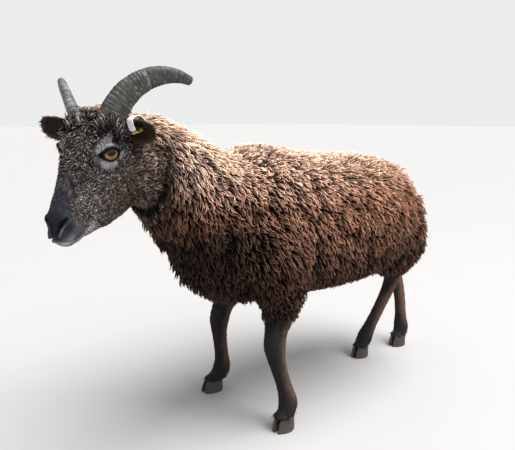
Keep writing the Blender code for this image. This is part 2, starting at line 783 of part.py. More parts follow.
def shells_of(obj, names):
    """Splits the two largest closed surfaces of an object into two objects, the left one first."""
    bm = bmesh.new()
    bm.from_mesh(obj.data)
    seen, shells = set(), []
    for start in bm.verts:
        if start.index in seen:
            continue
        shell, edge = [], [start]
        seen.add(start.index)
        while edge:
            vertex = edge.pop()
            shell.append(vertex.index)
            for link in vertex.link_edges:
                other = link.other_vert(vertex)
                if other.index not in seen:
                    seen.add(other.index)
                    edge.append(other)
        shells.append(shell)
    bm.free()
    points = np.array([v.co for v in obj.data.vertices])
    shells.sort(key=lambda shell: float(np.prod(np.ptp(points[shell], axis=0))))
    two = shells[-2:]

    def top_x(shell):
        high = points[shell]
        return high[high[:, 2] > high[:, 2].max() - 0.005, 0].mean()

    two.sort(key=top_x, reverse=True)
    made = []
    for name, shell in zip(names, two):
        keep = set(shell)
        bm = bmesh.new()
        bm.from_mesh(obj.data)
        bmesh.ops.delete(bm, geom=[v for v in bm.verts if v.index not in keep], context="VERTS")
        mesh = bpy.data.meshes.new(name)
        bm.to_mesh(mesh)
        bm.free()
        made.append(added(name, mesh))
    bpy.data.objects.remove(obj, do_unlink=True)
    return made


def strip(name, points, twist, finish):
    """A flat strip bent along points beside the left ear, turned about its length end to end."""
    root, length, along, across, opening = ear_frame("left")
    place = root + along * length * TAG_PLACE
    rows = smooth_rows(numbered(points), np.linspace(0, len(points) - 1, 2 * len(points)))
    centres = place + np.outer(rows[:, 0], across) + np.outer(rows[:, 1], opening)
    path = unit(np.gradient(centres, axis=0))
    turns = np.linspace(twist[0], twist[1], len(rows))[:, None]
    flat = np.cross(along, path)
    wide = along * np.cos(turns) + flat * np.sin(turns)
    thick = flat * np.cos(turns) - along * np.sin(turns)
    corners = ((-1, -1), (1, -1), (1, 1), (-1, 1))
    edges = [centres + wide * (a * TAG_WIDTH / 2) + thick * (b * TAG_THICK / 2) for a, b in corners]
    return added(name, closed_mesh(name, np.stack(edges, 1)), finish)


def tag_pin(radius, reach):
    """The pin that holds the tag, through the ear towards the strip behind it."""
    root, length, along, across, opening = ear_frame("left")
    place = root + along * length * TAG_PLACE + across * TAG_YELLOW[-1][0]
    centres = np.array([place + opening * w for w in (TAG_YELLOW[-1][1] + 0.001, -reach / 2, -reach)])
    size = np.full(3, radius)
    rings = sweep(centres, along, size, size, size, np.full((2, 3), 2.0), 10)
    return added("pin", closed_mesh("pin", rings))


def tail_rings(grow=0.0, count=8):
    """The short tail's rings, from its root inside the rump down to its tip."""
    at = np.linspace(0, len(TAIL_LINE) - 1, count)
    centres = smooth_rows(numbered(TAIL_LINE), at)
    width = TAIL_WIDTH - (TAIL_WIDTH - TAIL_TIP_WIDTH) * at / at[-1] + grow
    if grow:
        centres[0, 1] -= 3 * grow
    rings = sweep(centres, (1, 0, 0), width, width * 0.8, width * 0.8, np.full((2, count), 2.0), 8)
    return rounded(rings, 0.008, steps=2)


def face_point(tree, degrees, level):
    """The point of the muzzle's skin straight out at that angle and level, and its normal."""
    out = SIDE * math.sin(math.radians(degrees)) + MUZZLE * math.cos(math.radians(degrees))
    hit, normal, _, _ = tree.ray_cast(on_head(0, level, MUZZLE_CENTRE), out)
    return np.array(hit), np.array(normal)


def tube(name, centres, radii, sides=6):
    radii = np.asarray(radii, float)
    powers = np.full((2, len(radii)), 2.0)
    rings = sweep(np.asarray(centres), CROWN, radii, radii, radii, powers, sides)
    return added(name, closed_mesh(name, rings))


def with_face(head):
    """Gives the head its lips, mouth, nostrils and lids, raised first and cut after."""
    points = [v.co.copy() for v in head.data.vertices]
    tree = BVHTree.FromPolygons(points, [tuple(p.vertices) for p in head.data.polygons])
    raised, cut = [], []
    angles = np.linspace(-1, 1, 13) * math.degrees(MOUTH_REACH)
    levels = MOUTH_LEVEL + MOUTH_PEAK * np.exp(-((np.radians(angles) / MOUTH_PEAK_WIDTH) ** 2))
    hits = [face_point(tree, a, level) for a, level in zip(angles, levels)]
    line = np.array([hit for hit, _ in hits])
    out = np.array([normal for _, normal in hits])
    ends = 0.35 + 0.65 * smooth_step(1 - np.abs(angles) / math.degrees(MOUTH_REACH), 0, 0.35)
    for lift in (1, -1):
        centres = line + np.array(CROWN) * LIP_RADIUS * lift * ends[:, None] - out * LIP_RADIUS * 0.35
        raised.append(tube("lip", centres, LIP_RADIUS * ends))
    crown = np.array(CROWN) * MOUTH_WIDTH / 2
    edges = [line + out * 0.004 + crown, line - out * MOUTH_DEPTH + crown / 2]
    edges += [line - out * MOUTH_DEPTH - crown / 2, line + out * 0.004 - crown]
    cut.append(added("mouth", closed_mesh("mouth", np.stack(edges, 1))))
    for sign in (1, -1):
        spots = [face_point(tree, sign * degrees, level) for degrees, level, _ in NOSTRIL]
        radii = np.array([radius for _, _, radius in NOSTRIL])
        middle = np.array([hit for hit, _ in spots])
        normals = np.array([normal for _, normal in spots])
        raised.append(tube("nostril_rim", middle - normals * 0.0034, radii + NOSTRIL_RIM))
        cut.append(tube("nostril", middle + normals * 0.0004, radii))
        eye_centre = on_head(sign * EYE_AT[0], EYE_AT[1], EYE_AT[2])
        raised.append(added("lids", ball(eye_centre, EYE_RADIUS + LID_THICKNESS, sign)))
        cut.append(added("socket", ball(eye_centre, EYE_RADIUS + GAP, sign)))
        cut.append(lid_opening(eye_centre, sign))
    combined(head, raised)
    combined(head, cut, "DIFFERENCE")
    return keep_largest(head)


def lid_opening(centre, sign):
    """An oval wedge that opens the lids in front of the eye."""
    look = head_direction((sign * EYE_LOOKS[0], EYE_LOOKS[1], EYE_LOOKS[2]))
    level = MUZZLE * math.cos(LID_SLOPE) + CROWN * math.sin(LID_SLOPE)
    level = (level - look * level.dot(look)).normalized()
    upright = look.cross(level)
    rings = []
    for reach, size in ((0.0045, 0.55), (EYE_RADIUS, 1.0), (EYE_RADIUS * 1.8, 1.5)):
        ring = []
        for i in range(14):
            a = i * math.pi / 7
            long = math.cos(a) * LID_OPENING[0]
            short = math.sin(a) * LID_OPENING[1] * (1 - 0.25 * math.cos(a) ** 2)
            ring.append(centre + look * reach + (level * long + upright * short) * size)
        rings.append([np.array(p) for p in ring])
    return added("opening", closed_mesh("opening", np.array(rings)))


# Part the body, front to back.
combined(body, clumps(body))
keep_largest(body)
simplified(body, BODY_TRIANGLES)
neck = parted(body, NECK_CUT, NECK_CUT_WAY, "neck")
head = body
head.name = "head"
keep_largest(head)
with_face(head)
torso = parted(neck, CHEST_CUT, CHEST_CUT_WAY, "torso")
forelegs = added("forelegs", torso.data.copy())
hindlegs = added("hindlegs", torso.data.copy())
above_forelegs = beyond((0, 0, FORELEG_TOP), (0, 0, 1), -GAP / 2)
combined(forelegs, [above_forelegs, beyond((0, LEG_DIVIDE, 0), (0, 1, 0), 0)], "DIFFERENCE")
above_hindlegs = beyond((0, 0, HINDLEG_TOP), (0, 0, 1), -GAP / 2)
combined(hindlegs, [above_hindlegs, beyond((0, LEG_DIVIDE, 0), (0, -1, 0), 0)], "DIFFERENCE")
under_front = block((-1, -1, -1), (1, LEG_DIVIDE, FORELEG_TOP + GAP / 2))
under_back = block((-1, LEG_DIVIDE, -1), (1, 1, HINDLEG_TOP + GAP / 2))
combined(torso, [under_front, under_back], "DIFFERENCE")
foreleg_left, foreleg_right = shells_of(forelegs, ("foreleg_left", "foreleg_right"))
between_thighs = block((-GAP, 0, 0.195), (GAP, 1, 0.30), at=Vector((THIGH_CUT, 0, 0)))
combined(hindlegs, [between_thighs], "DIFFERENCE")
hindleg_left, hindleg_right = shells_of(hindlegs, ("hindleg_left", "hindleg_right"))
for leg in (foreleg_left, foreleg_right, hindleg_left, hindleg_right):
    combined(leg, [beyond((0, 0, CORONET_HEIGHT + GAP), (0, 0, -1), 0)], "DIFFERENCE")

tail = added("tail", closed_mesh("tail", tail_rings()), FLEECE)
combined(torso, [added("tail_hole", closed_mesh("tail_hole", tail_rings(ROOT_GAP)))], "DIFFERENCE")

for sign, side in ((1, "left"), (-1, "right")):
    eye_centre = on_head(sign * EYE_AT[0], EYE_AT[1], EYE_AT[2])
    eye = added("eye_" + side, ball(eye_centre, EYE_RADIUS, sign), IRIS)
    horn = added("horn_" + side, closed_mesh("horn_" + side, horn_rings(side)), HORN)
    horn_hole = added("horn_hole", closed_mesh("horn_hole", horn_rings(side, ROOT_GAP)))
    ear = added("ear_" + side, closed_mesh("ear_" + side, ear_rings(side)), FACE)
    ear_hole = added("ear_hole", closed_mesh("ear_hole", ear_rings(side, ROOT_GAP)))
    combined(head, [horn_hole, ear_hole], "DIFFERENCE")
keep_largest(head)
combined(bpy.data.objects["horn_right"], [horn_split(horn_rings("right"))], "DIFFERENCE")
keep_largest(bpy.data.objects["horn_right"])

white = strip("ear_tag_white", TAG_WHITE, (0, TAG_TWIST), TAG_PALE)
yellow = strip("ear_tag_yellow", TAG_YELLOW, (TAG_TWIST, 0), TAG_BRIGHT)
combined(yellow, [tag_pin(TAG_PIN, 0.0100)])
combined(bpy.data.objects["ear_left"], [tag_pin(TAG_PIN + GAP, 0.0200)], "DIFFERENCE")
keep_largest(bpy.data.objects["ear_left"])

for name, (x, y, degrees) in FEET.items():
    for inner in (False, True):
        end = "_1" if inner else "_2"
        added(name + end, closed_mesh(name + end, claw_rings(x, y, degrees, inner)), CLAW)

for obj in (neck, torso):
    keep_largest(obj)
    obj.data.materials.clear()
    obj.data.materials.append(FLEECE)
head.data.materials.clear()
head.data.materials.append(FACE)
for obj in (foreleg_left, foreleg_right, hindleg_left, hindleg_right):
    obj.data.materials.clear()
    obj.data.materials.append(LEG_HAIR)

for obj in SHEEP.objects:
    obj.location = HOME
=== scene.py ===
import math

import bmesh
import bpy
import numpy as np
from mathutils import Matrix, Vector, noise
from mathutils.bvhtree import BVHTree
from mathutils.kdtree import KDTree


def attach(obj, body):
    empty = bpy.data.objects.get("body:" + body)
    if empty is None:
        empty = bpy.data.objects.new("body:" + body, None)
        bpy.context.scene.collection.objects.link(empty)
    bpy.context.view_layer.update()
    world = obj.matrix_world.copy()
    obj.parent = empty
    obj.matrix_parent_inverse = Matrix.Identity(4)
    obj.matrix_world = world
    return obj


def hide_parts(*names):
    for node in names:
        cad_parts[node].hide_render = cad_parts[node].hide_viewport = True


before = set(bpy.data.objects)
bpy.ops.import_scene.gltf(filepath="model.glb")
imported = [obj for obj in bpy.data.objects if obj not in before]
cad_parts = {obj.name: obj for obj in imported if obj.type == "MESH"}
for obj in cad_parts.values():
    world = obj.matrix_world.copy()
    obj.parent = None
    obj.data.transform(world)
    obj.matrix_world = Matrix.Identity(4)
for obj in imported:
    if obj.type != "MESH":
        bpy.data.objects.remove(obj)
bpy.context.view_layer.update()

# The skin. One hide covers torso, neck, head, tail and legs without a seam. The body's part lies under
# the wool, so it stays a good way inside the coat's tips, and the face carries lids, lips and nostrils.
HOME = np.array((0.0, -0.071, 0.0))
COAT_DEPTH = 0.033
SKIN_SHARE = 0.22
BELLY_SHARE = 0.5
# Along the spine: y, middle height, reach above and below it, half width.
TORSO = (
    (-0.105, 0.400, 0.085, 0.090, 0.050),
    (-0.060, 0.390, 0.120, 0.112, 0.084),
    (-0.015, 0.380, 0.137, 0.120, 0.104),
    (0.050, 0.370, 0.142, 0.120, 0.118),
    (0.130, 0.365, 0.135, 0.120, 0.130),
    (0.220, 0.365, 0.126, 0.124, 0.137),
    (0.300, 0.368, 0.120, 0.120, 0.134),
    (0.360, 0.373, 0.110, 0.106, 0.120),
    (0.405, 0.376, 0.096, 0.088, 0.102),
    (0.440, 0.380, 0.078, 0.072, 0.082),
    (0.465, 0.384, 0.054, 0.052, 0.058),
)
# From the skull back: x, y, z, reach above and below, half width.
NECK = (
    (0.028, -0.288, 0.554, 0.034, 0.051, 0.040),
    (0.018, -0.236, 0.528, 0.046, 0.057, 0.048),
    (0.010, -0.180, 0.492, 0.060, 0.060, 0.057),
    (0.003, -0.125, 0.457, 0.068, 0.079, 0.070),
    (0.000, -0.070, 0.425, 0.086, 0.103, 0.084),
    (0.000, -0.010, 0.405, 0.095, 0.100, 0.090),
)
# Each leg from the shoulder or hip down: elbow or stifle, knee or hock, fetlock, and the foot.
FORELEG_JOINTS = {
    "left": (
        (0.070, -0.035, 0.400), (0.086, 0.014, 0.275), (0.102, -0.014, 0.165),
        (0.112, 0.010, 0.055), (0.113, -0.006, 0.014),
    ),
    "right": (
        (-0.070, -0.035, 0.400), (-0.082, 0.034, 0.275), (-0.096, 0.012, 0.165),
        (-0.106, 0.024, 0.055), (-0.113, 0.000, 0.014),
    ),
}
HINDLEG_JOINTS = {
    "left": (
        (0.062, 0.402, 0.400), (0.078, 0.385, 0.300), (0.012, 0.488, 0.185),
        (-0.008, 0.418, 0.054), (-0.010, 0.394, 0.014),
    ),
    "right": (
        (-0.062, 0.412, 0.400), (-0.080, 0.405, 0.300), (-0.022, 0.546, 0.185),
        (0.006, 0.550, 0.054), (0.010, 0.530, 0.014),
    ),
}
# Place along the leg, half width, reach to the front and to the rear. All feet have the same ones.
FOOT_SIZES = (
    (3.00, 0.0172, 0.0170, 0.0200),
    (3.50, 0.0165, 0.0160, 0.0165),
    (4.00, 0.0192, 0.019, 0.0180),
)
FORELEG_SIZES = (
    (0.00, 0.050, 0.070, 0.055),
    (0.50, 0.046, 0.052, 0.044),
    (1.00, 0.034, 0.034, 0.024),
    (1.40, 0.026, 0.026, 0.028),
    (1.75, 0.0205, 0.021, 0.022),
    (2.00, 0.0205, 0.021, 0.0190),
    (2.20, 0.0165, 0.017, 0.0165),
    (2.50, 0.0138, 0.0145, 0.0155),
    (2.80, 0.0145, 0.0155, 0.0170),
    *FOOT_SIZES,
)
HINDLEG_SIZES = (
    (0.00, 0.045, 0.078, 0.042),
    (0.50, 0.050, 0.078, 0.048),
    (1.00, 0.046, 0.060, 0.052),
    (1.35, 0.036, 0.042, 0.042),
    (1.70, 0.0225, 0.026, 0.028),
    (2.00, 0.0165, 0.0195, 0.0250),
    (2.25, 0.0145, 0.0165, 0.0170),
    (2.60, 0.0132, 0.0148, 0.0155),
    (2.85, 0.0145, 0.0155, 0.0175),
    *FOOT_SIZES,
)
FORELEG_COAT = (0.195, 0.275)
HINDLEG_COAT = (0.235, 0.310)
TAIL_LINE = (
    (0.0, 0.455, 0.452),
    (0.0, 0.500, 0.446),
    (0.0, 0.522, 0.412),
    (0.0, 0.527, 0.370),
    (0.0, 0.524, 0.345),
)
# Head: distance towards the nose, middle, reach above and below, half width, lean, powers above and below.
HEAD = (
    (0.196, -0.014, 0.018, 0.024, 0.0180, 0.10, 2.1, 2.2),
    (0.186, -0.013, 0.029, 0.031, 0.0226, 0.14, 2.1, 2.2),
    (0.170, -0.012, 0.035, 0.047, 0.0242, 0.16, 2.1, 2.2),
    (0.147, -0.008, 0.038, 0.068, 0.0258, 0.12, 2.2, 2.1),
    (0.120, 0.000, 0.036, 0.096, 0.0294, 0.05, 2.3, 1.9),
    (0.092, 0.014, 0.030, 0.124, 0.0368, 0.00, 2.5, 1.6),
    (0.072, 0.016, 0.033, 0.138, 0.0410, 0.00, 2.6, 1.55),
    (0.050, 0.010, 0.042, 0.140, 0.0432, 0.00, 2.6, 1.6),
    (0.025, 0.000, 0.052, 0.136, 0.0430, 0.00, 2.4, 1.8),
    (0.000, -0.008, 0.046, 0.112, 0.0405, 0.00, 2.2, 2.0),
    (-0.015, -0.010, 0.034, 0.080, 0.0330, 0.00, 2.1, 2.1),
)
HEAD_AT = Vector((0.020, -0.2945, 0.578))
HEAD_TURN, HEAD_DROP, HEAD_TILT = math.radians(29), math.radians(41.5), math.radians(3)
NOSE_ROUNDING = 0.014
POLL_ROUNDING = 0.012
BODY_VOXEL = 0.0042
HEAD_VOXEL = 0.0013
# The folds over the tops of the forelegs, which are smoothed away, and the height where the hooves begin.
SHOULDER_AT, SHOULDER_REACH, SHOULDER_ROUNDS = (0.115, -0.055, 0.392), (0.050, 0.085, 0.050), 90
CORONET_HEIGHT = 0.0275
SIGNS = {"left": 1, "right": -1}


def smooth_rows(rows, at):
    """Rows of sizes, each led by its place, read at other places along a smooth curve."""
    table = np.array(rows, float)
    keys, values = table[:, 0], table[:, 1:]
    slopes = np.gradient(values, keys, axis=0)
    at = np.clip(np.asarray(at, float), keys[0], keys[-1])
    index = np.clip(np.searchsorted(keys, at) - 1, 0, len(keys) - 2)
    span = (keys[index + 1] - keys[index])[:, None]
    t = (at[:, None] - keys[index][:, None]) / span
    return (
        values[index] * (2 * t**3 - 3 * t**2 + 1)
        + slopes[index] * span * (t**3 - 2 * t**2 + t)
        + values[index + 1] * (3 * t**2 - 2 * t**3)
        + slopes[index + 1] * span * (t**3 - t**2)
    )


def numbered(points):
    return [(i, *p) for i, p in enumerate(points)]


def smooth_step(value, low, high):
    t = np.clip((np.asarray(value, float) - low) / (high - low), 0, 1)
    return t * t * (3 - 2 * t)


def unit(vectors):
    return vectors / np.maximum(np.linalg.norm(vectors, axis=-1, keepdims=True), 1e-12)


def square_to(ways, axes):
    """The part of each way that lies square to its axis."""
    return ways - axes * (ways * axes).sum(-1, keepdims=True)


def circle(sides):
    """The cosines and sines of even steps round a circle."""
    turn = np.arange(sides) * 2 * math.pi / sides
    return np.cos(turn), np.sin(turn)


def oval(half_width, above, below, powers, sides):
    """Across and up round an oval at each row of sizes. A power over 2 makes that half squarer."""
    cos, sin = circle(sides)
    power = np.where(sin >= 0, *powers[..., None])
    across = np.sign(cos) * np.abs(cos) ** (2 / power) * half_width[:, None]
    reach = np.where(sin >= 0, above[:, None], below[:, None])
    return across, np.sign(sin) * np.abs(sin) ** (2 / power) * reach


def sweep(centres, side, half_width, above, below, powers, sides):
    """Oval rings square to a line of centres. Side points to the ring's across direction."""
    along = unit(np.gradient(centres, axis=0))
    side = np.broadcast_to(np.asarray(side, float), centres.shape)
    across = unit(square_to(side, along))
    over = np.cross(across, along)
    x, z = oval(half_width, above, below, powers, sides)
    return centres[:, None] + across[:, None] * x[..., None] + over[:, None] * z[..., None]


def rounded(rings, length, first=False, steps=6):
    """The rings with a rounded end of that length added at the last ring, or at the first."""
    if first:
        return rounded(rings[::-1], length, steps=steps)[::-1]
    centre = rings[-1].mean(0)
    along = unit(np.cross(rings[-1][1] - rings[-1][0], rings[-1][2] - rings[-1][1]))
    along = along * np.sign(along @ (centre - rings[-2].mean(0)))
    turns = np.linspace(0, math.pi / 2, steps + 2)[1:-1]
    more = [centre + (rings[-1] - centre) * math.cos(a) + along * length * math.sin(a) for a in turns]
    return np.concatenate([rings, more])


def faced_out(mesh):
    """The mesh with its faces turned outward and shaded smooth."""
    bm = bmesh.new()
    bm.from_mesh(mesh)
    bmesh.ops.recalc_face_normals(bm, faces=bm.faces)
    bm.to_mesh(mesh)
    bm.free()
    mesh.shade_smooth()
    return mesh


def tube_mesh(name, rings):
    """A closed mesh of quads over a stack of rings, in the model's frame."""
    count, sides = rings.shape[:2]
    rows = np.arange(count * sides).reshape(count, sides)
    beside = np.roll(rows, -1, axis=1)
    quads = np.stack([rows[:-1], beside[:-1], beside[1:], rows[1:]], -1).reshape(-1, 4)
    faces = quads.tolist() + [rows[0][::-1].tolist(), rows[-1].tolist()]
    mesh = bpy.data.meshes.new(name)
    mesh.from_pydata((rings.reshape(-1, 3) + HOME).tolist(), [], faces)
    return faced_out(mesh)


def piece(name, mesh, material=None):
    made = bpy.data.objects.new(name, mesh)
    bpy.context.scene.collection.objects.link(made)
    if material:
        mesh.materials.clear()
        mesh.materials.append(material)
    return made


def joined(name, meshes):
    """One mesh that holds all of these."""
    bm = bmesh.new()
    for mesh in meshes:
        bm.from_mesh(mesh)
    whole = bpy.data.meshes.new(name)
    bm.to_mesh(whole)
    bm.free()
    return whole


def fused(name, meshes, voxel, rounds):
    """Closed shapes grown together into one smooth hide of even faces."""
    made = piece(name, joined(name, meshes))
    remesh = made.modifiers.new("grow_together", "REMESH")
    remesh.mode, remesh.voxel_size, remesh.use_smooth_shade = "VOXEL", voxel, True
    smooth = made.modifiers.new("smooth", "SMOOTH")
    smooth.factor, smooth.iterations = 0.5, rounds
    graph = bpy.context.evaluated_depsgraph_get()
    mesh = bpy.data.meshes.new_from_object(made.evaluated_get(graph))
    bpy.data.objects.remove(made, do_unlink=True)
    mesh.shade_smooth()
    return mesh


def points_of(mesh):
    """The mesh's points and their normals, in the body's own frame."""
    points, normals = np.empty(len(mesh.vertices) * 3), np.empty(len(mesh.vertices) * 3)
    mesh.vertices.foreach_get("co", points)
    mesh.vertices.foreach_get("normal", normals)
    return points.reshape(-1, 3) - HOME, normals.reshape(-1, 3)


def move_points(mesh, points):
    mesh.vertices.foreach_set("co", (points + HOME).ravel())
    mesh.update()


def torso_rings(count=60, sides=64):
    at = np.linspace(TORSO[0][0], TORSO[-1][0], count)
    middle, above, below, half_width = smooth_rows(TORSO, at).T
    coat = COAT_DEPTH * SKIN_SHARE
    centres = np.stack([np.zeros(count), at, middle], 1)
    powers = np.stack([np.full(count, 2.2), np.full(count, 2.3)])
    low = below + coat * BELLY_SHARE
    rings = sweep(centres, (1, 0, 0), half_width + coat, above + coat, low, powers, sides)
    return rounded(rounded(rings, 0.03, first=True), 0.012 + coat)


def neck_rings(count=40, sides=48):
    rows = smooth_rows(numbered(NECK), np.linspace(0, len(NECK) - 1, count))
    coat = COAT_DEPTH * SKIN_SHARE * smooth_step(rows[:, 1], -0.31, -0.25)
    sizes = rows[:, 5] + coat, rows[:, 3] + coat, rows[:, 4] + coat
    return sweep(rows[:, :3], (1, 0, 0), *sizes, np.full((2, count), 2.1), sides)


def leg_rings(joints, sizes, coat_ends, count=70, sides=32):
    at = np.linspace(0, len(joints) - 1, count)
    centres = smooth_rows(numbered(joints), at)
    half_width, front, rear = smooth_rows(sizes, at).T
    coat = COAT_DEPTH * SKIN_SHARE * smooth_step(centres[:, 2], *coat_ends)
    powers = np.full((2, count), 2.2)
    return sweep(centres, (1, 0, 0), half_width + coat * 0.8, rear + coat, front + coat * 0.8, powers, sides)


def tail_rings(count=30):
    at = np.linspace(0, len(TAIL_LINE) - 1, count)
    width = 0.014 - 0.008 * at / at[-1]
    centres = smooth_rows(numbered(TAIL_LINE), at)
    rings = sweep(centres, (1, 0, 0), width, width * 0.8, width * 0.8, np.full((2, count), 2.0), 20)
    return rounded(rings, 0.006)


def head_axes():
    """Side, crown and muzzle directions of the head."""
    forward = Vector((math.sin(HEAD_TURN), -math.cos(HEAD_TURN), 0))
    side = Vector((math.cos(HEAD_TURN), math.sin(HEAD_TURN), 0))
    muzzle = forward * math.cos(HEAD_DROP) - Vector((0, 0, math.sin(HEAD_DROP)))
    crown = muzzle.cross(side)
    tilt = Matrix.Rotation(-HEAD_TILT, 3, muzzle)
    return tilt @ side, tilt @ crown, muzzle


SIDE, CROWN, MUZZLE = head_axes()
HEAD_AXES = np.array([SIDE, CROWN, MUZZLE])


def on_head(*place):
    """The point of the body's frame with these head coordinates: side, crown and muzzle."""
    return np.array(HEAD_AT) + np.asarray(place) @ HEAD_AXES


def head_way(*way):
    return unit(np.asarray(way, float) @ HEAD_AXES)


def head_places(points):
    """Head coordinates of points in the body's frame."""
    return (points - np.array(HEAD_AT)) @ HEAD_AXES.T


def head_rings(count=90, sides=72):
    table = HEAD[::-1]
    at = np.linspace(table[0][0], table[-1][0], count)[::-1]
    middle, above, below, half_width, lean, power_above, power_below = smooth_rows(table, at).T
    x, z = oval(half_width, above, below, np.stack([power_above, power_below]), sides)
    rings = np.stack([x, z + middle[:, None], at[:, None] + lean[:, None] * z], -1)
    rings = rounded(rounded(rings, NOSE_ROUNDING, first=True), POLL_ROUNDING)
    return rings @ HEAD_AXES + np.array(HEAD_AT)


# Eyes and lids: centre on the head, ball, the way it looks, and the opening of the lids.
EYE_AT = (0.0324, 0.022, 0.070)
EYE_RADIUS = 0.0142
EYE_SINK = 0.0018
EYE_LOOKS = (0.84, 0.24, 0.48)
LID_RAISED = 0.0026
LID_OPENING = (0.0128, 0.0084)
LID_SLOPE = math.radians(28)
TEAR_DUCT = 0.0012


def eye_frame(sign):
    """An eye's centre, and the directions that it looks in, along its lids to the nose, and up."""
    look = head_way(sign * EYE_LOOKS[0], EYE_LOOKS[1], EYE_LOOKS[2])
    level = head_way(0, math.sin(LID_SLOPE), math.cos(LID_SLOPE))
    level = unit(level - look * (look @ level))
    upright = np.cross(look, level)
    upright *= np.sign(upright @ np.array(CROWN))
    return on_head(sign * EYE_AT[0], EYE_AT[1], EYE_AT[2]), look, level, upright


def lid_edge(turns):
    """The edge of the lids' opening, along the eye and up, with the tear duct at its front corner."""
    front = np.maximum(np.cos(turns), 0) ** 8
    along = np.cos(turns) * LID_OPENING[0] + front * TEAR_DUCT
    up = np.sin(turns) * LID_OPENING[1] * (1 - 0.3 * np.cos(turns) ** 2) - front * TEAR_DUCT * 0.35
    return along, up


def beside_lids(points, sign):
    """Each point from an eye's centre, how far that is, its gap to the lids' opening, and if it is near."""
    centre, look, level, upright = eye_frame(sign)
    away = points - centre
    reach = np.linalg.norm(away, axis=1)
    ahead, along, up = away @ look, away @ level, away @ upright
    near = (ahead > 0.001) & (reach < EYE_RADIUS * 1.9)
    scale = EYE_RADIUS / np.maximum(reach, 1e-6)
    along, up = along * scale, up * scale
    turns = np.linspace(0, 2 * math.pi, 181)
    edge_along, edge_up = lid_edge(turns)
    edge_turns, edge_reach = np.arctan2(edge_up, edge_along), np.hypot(edge_along, edge_up)
    order = np.argsort(edge_turns)
    opening = np.interp(np.arctan2(up, along), edge_turns[order], edge_reach[order], period=2 * math.pi)
    return away, reach, np.hypot(along, up) - opening, near


def with_lids(points):
    """Lays the skin round each eye over its ball as lids, and opens them."""
    for sign in SIGNS.values():
        away, reach, apart, near = beside_lids(points, sign)
        lid = EYE_RADIUS + LID_RAISED * (1 - 0.75 * smooth_step(apart, 0.0005, 0.008))
        raised = np.maximum(reach, lid)
        blend = 1 - smooth_step(apart, 0.006, 0.011)
        wanted = np.where(apart < 0, EYE_RADIUS - EYE_SINK, reach + (raised - reach) * blend)
        wanted = np.where(near, wanted, reach)
        points = points - away + away * (wanted / np.maximum(reach, 1e-6))[:, None]
    return points


# Forms of the face, such as brow, cheek bone, lips and nose: head place, reach on each axis, and height.
# Each is on both sides.
FACE_FORMS = (
    ((0.034, 0.040, 0.058), (0.010, 0.007, 0.020), 0.0040),
    ((0.033, 0.006, 0.100), (0.010, 0.009, 0.012), -0.0028),
    ((0.042, -0.002, 0.078), (0.012, 0.006, 0.026), 0.0026),
    ((0.043, -0.040, 0.045), (0.015, 0.028, 0.030), 0.0022),
    ((0.033, -0.018, 0.118), (0.012, 0.012, 0.022), -0.0020),
    ((0.010, 0.038, 0.120), (0.010, 0.012, 0.045), 0.0012),
    ((0.018, 0.010, 0.192), (0.007, 0.010, 0.009), 0.0026),
    ((0.023, 0.000, 0.176), (0.007, 0.006, 0.007), -0.0022),
    ((0.016, -0.014, 0.196), (0.011, 0.007, 0.012), 0.0018),
    ((0.006, -0.038, 0.186), (0.010, 0.007, 0.010), 0.0026),
    ((0.030, 0.052, 0.020), (0.012, 0.012, 0.014), 0.0030),
    ((0.036, 0.044, 0.042), (0.012, 0.011, 0.017), 0.0050),
)
MUZZLE_CENTRE = 0.150
MOUTH_REACH, MOUTH_LEVEL, MOUTH_PEAK = 76, -0.0225, 0.0145
MOUTH_PEAK_WIDTH = math.radians(14)
MOUTH_DEPTH, MOUTH_HALF_WIDTH, LIP_HEIGHT = 0.0042, 0.0016, 0.0012
# Along each nostril: degrees outward, height, and radius of the opening.
NOSTRIL = (
    (3.5, -0.0010, 0.0015),
    (6, 0.0025, 0.0024),
    (11, 0.0065, 0.0030),
    (17, 0.0100, 0.0026),
    (24, 0.0118, 0.0012),
)
NOSTRIL_DEPTH, NOSTRIL_RIM = 0.0080, 0.0013


def on_muzzle(tree, degrees, level):
    """The skin's point straight out from the muzzle's centre at that angle and level."""
    out = SIDE * math.sin(math.radians(degrees)) + MUZZLE * math.cos(math.radians(degrees))
    hit = tree.ray_cast(Vector(on_head(0, level, MUZZLE_CENTRE) + HOME), out)[0]
    return np.array(hit) - HOME


def nearest_on(path, points, radii=None):
    """How far each point is from a line of points, and the line's radius there."""
    best, size = np.full(len(points), 9.0), np.zeros(len(points))
    radii = np.ones(len(path)) if radii is None else np.asarray(radii)
    for start, end, first, last in zip(path[:-1], path[1:], radii[:-1], radii[1:]):
        way = end - start
        t = np.clip((points - start) @ way / (way @ way), 0, 1)
        gap = np.linalg.norm(points - start - t[:, None] * way, axis=1)
        closer = gap < best
        best[closer] = gap[closer]
        size[closer] = (first + (last - first) * t)[closer]
    return best, size


def face_lines(mesh):
    """The line of the mouth, and each nostril's line with its radii."""
    tree = BVHTree.FromPolygons([v.co for v in mesh.vertices], [tuple(p.vertices) for p in mesh.polygons])
    degrees = np.linspace(-MOUTH_REACH, MOUTH_REACH, 61)
    levels = MOUTH_LEVEL + MOUTH_PEAK * np.exp(-((np.radians(degrees) / MOUTH_PEAK_WIDTH) ** 2))
    mouth = np.array([on_muzzle(tree, a, level) for a, level in zip(degrees, levels)])
    table = smooth_rows(numbered(NOSTRIL), np.linspace(0, len(NOSTRIL) - 1, 17))
    nostrils = [
        np.array([on_muzzle(tree, sign * a, level) for a, level, _ in table]) for sign in SIGNS.values()
    ]
    return mouth, nostrils, table[:, 2]


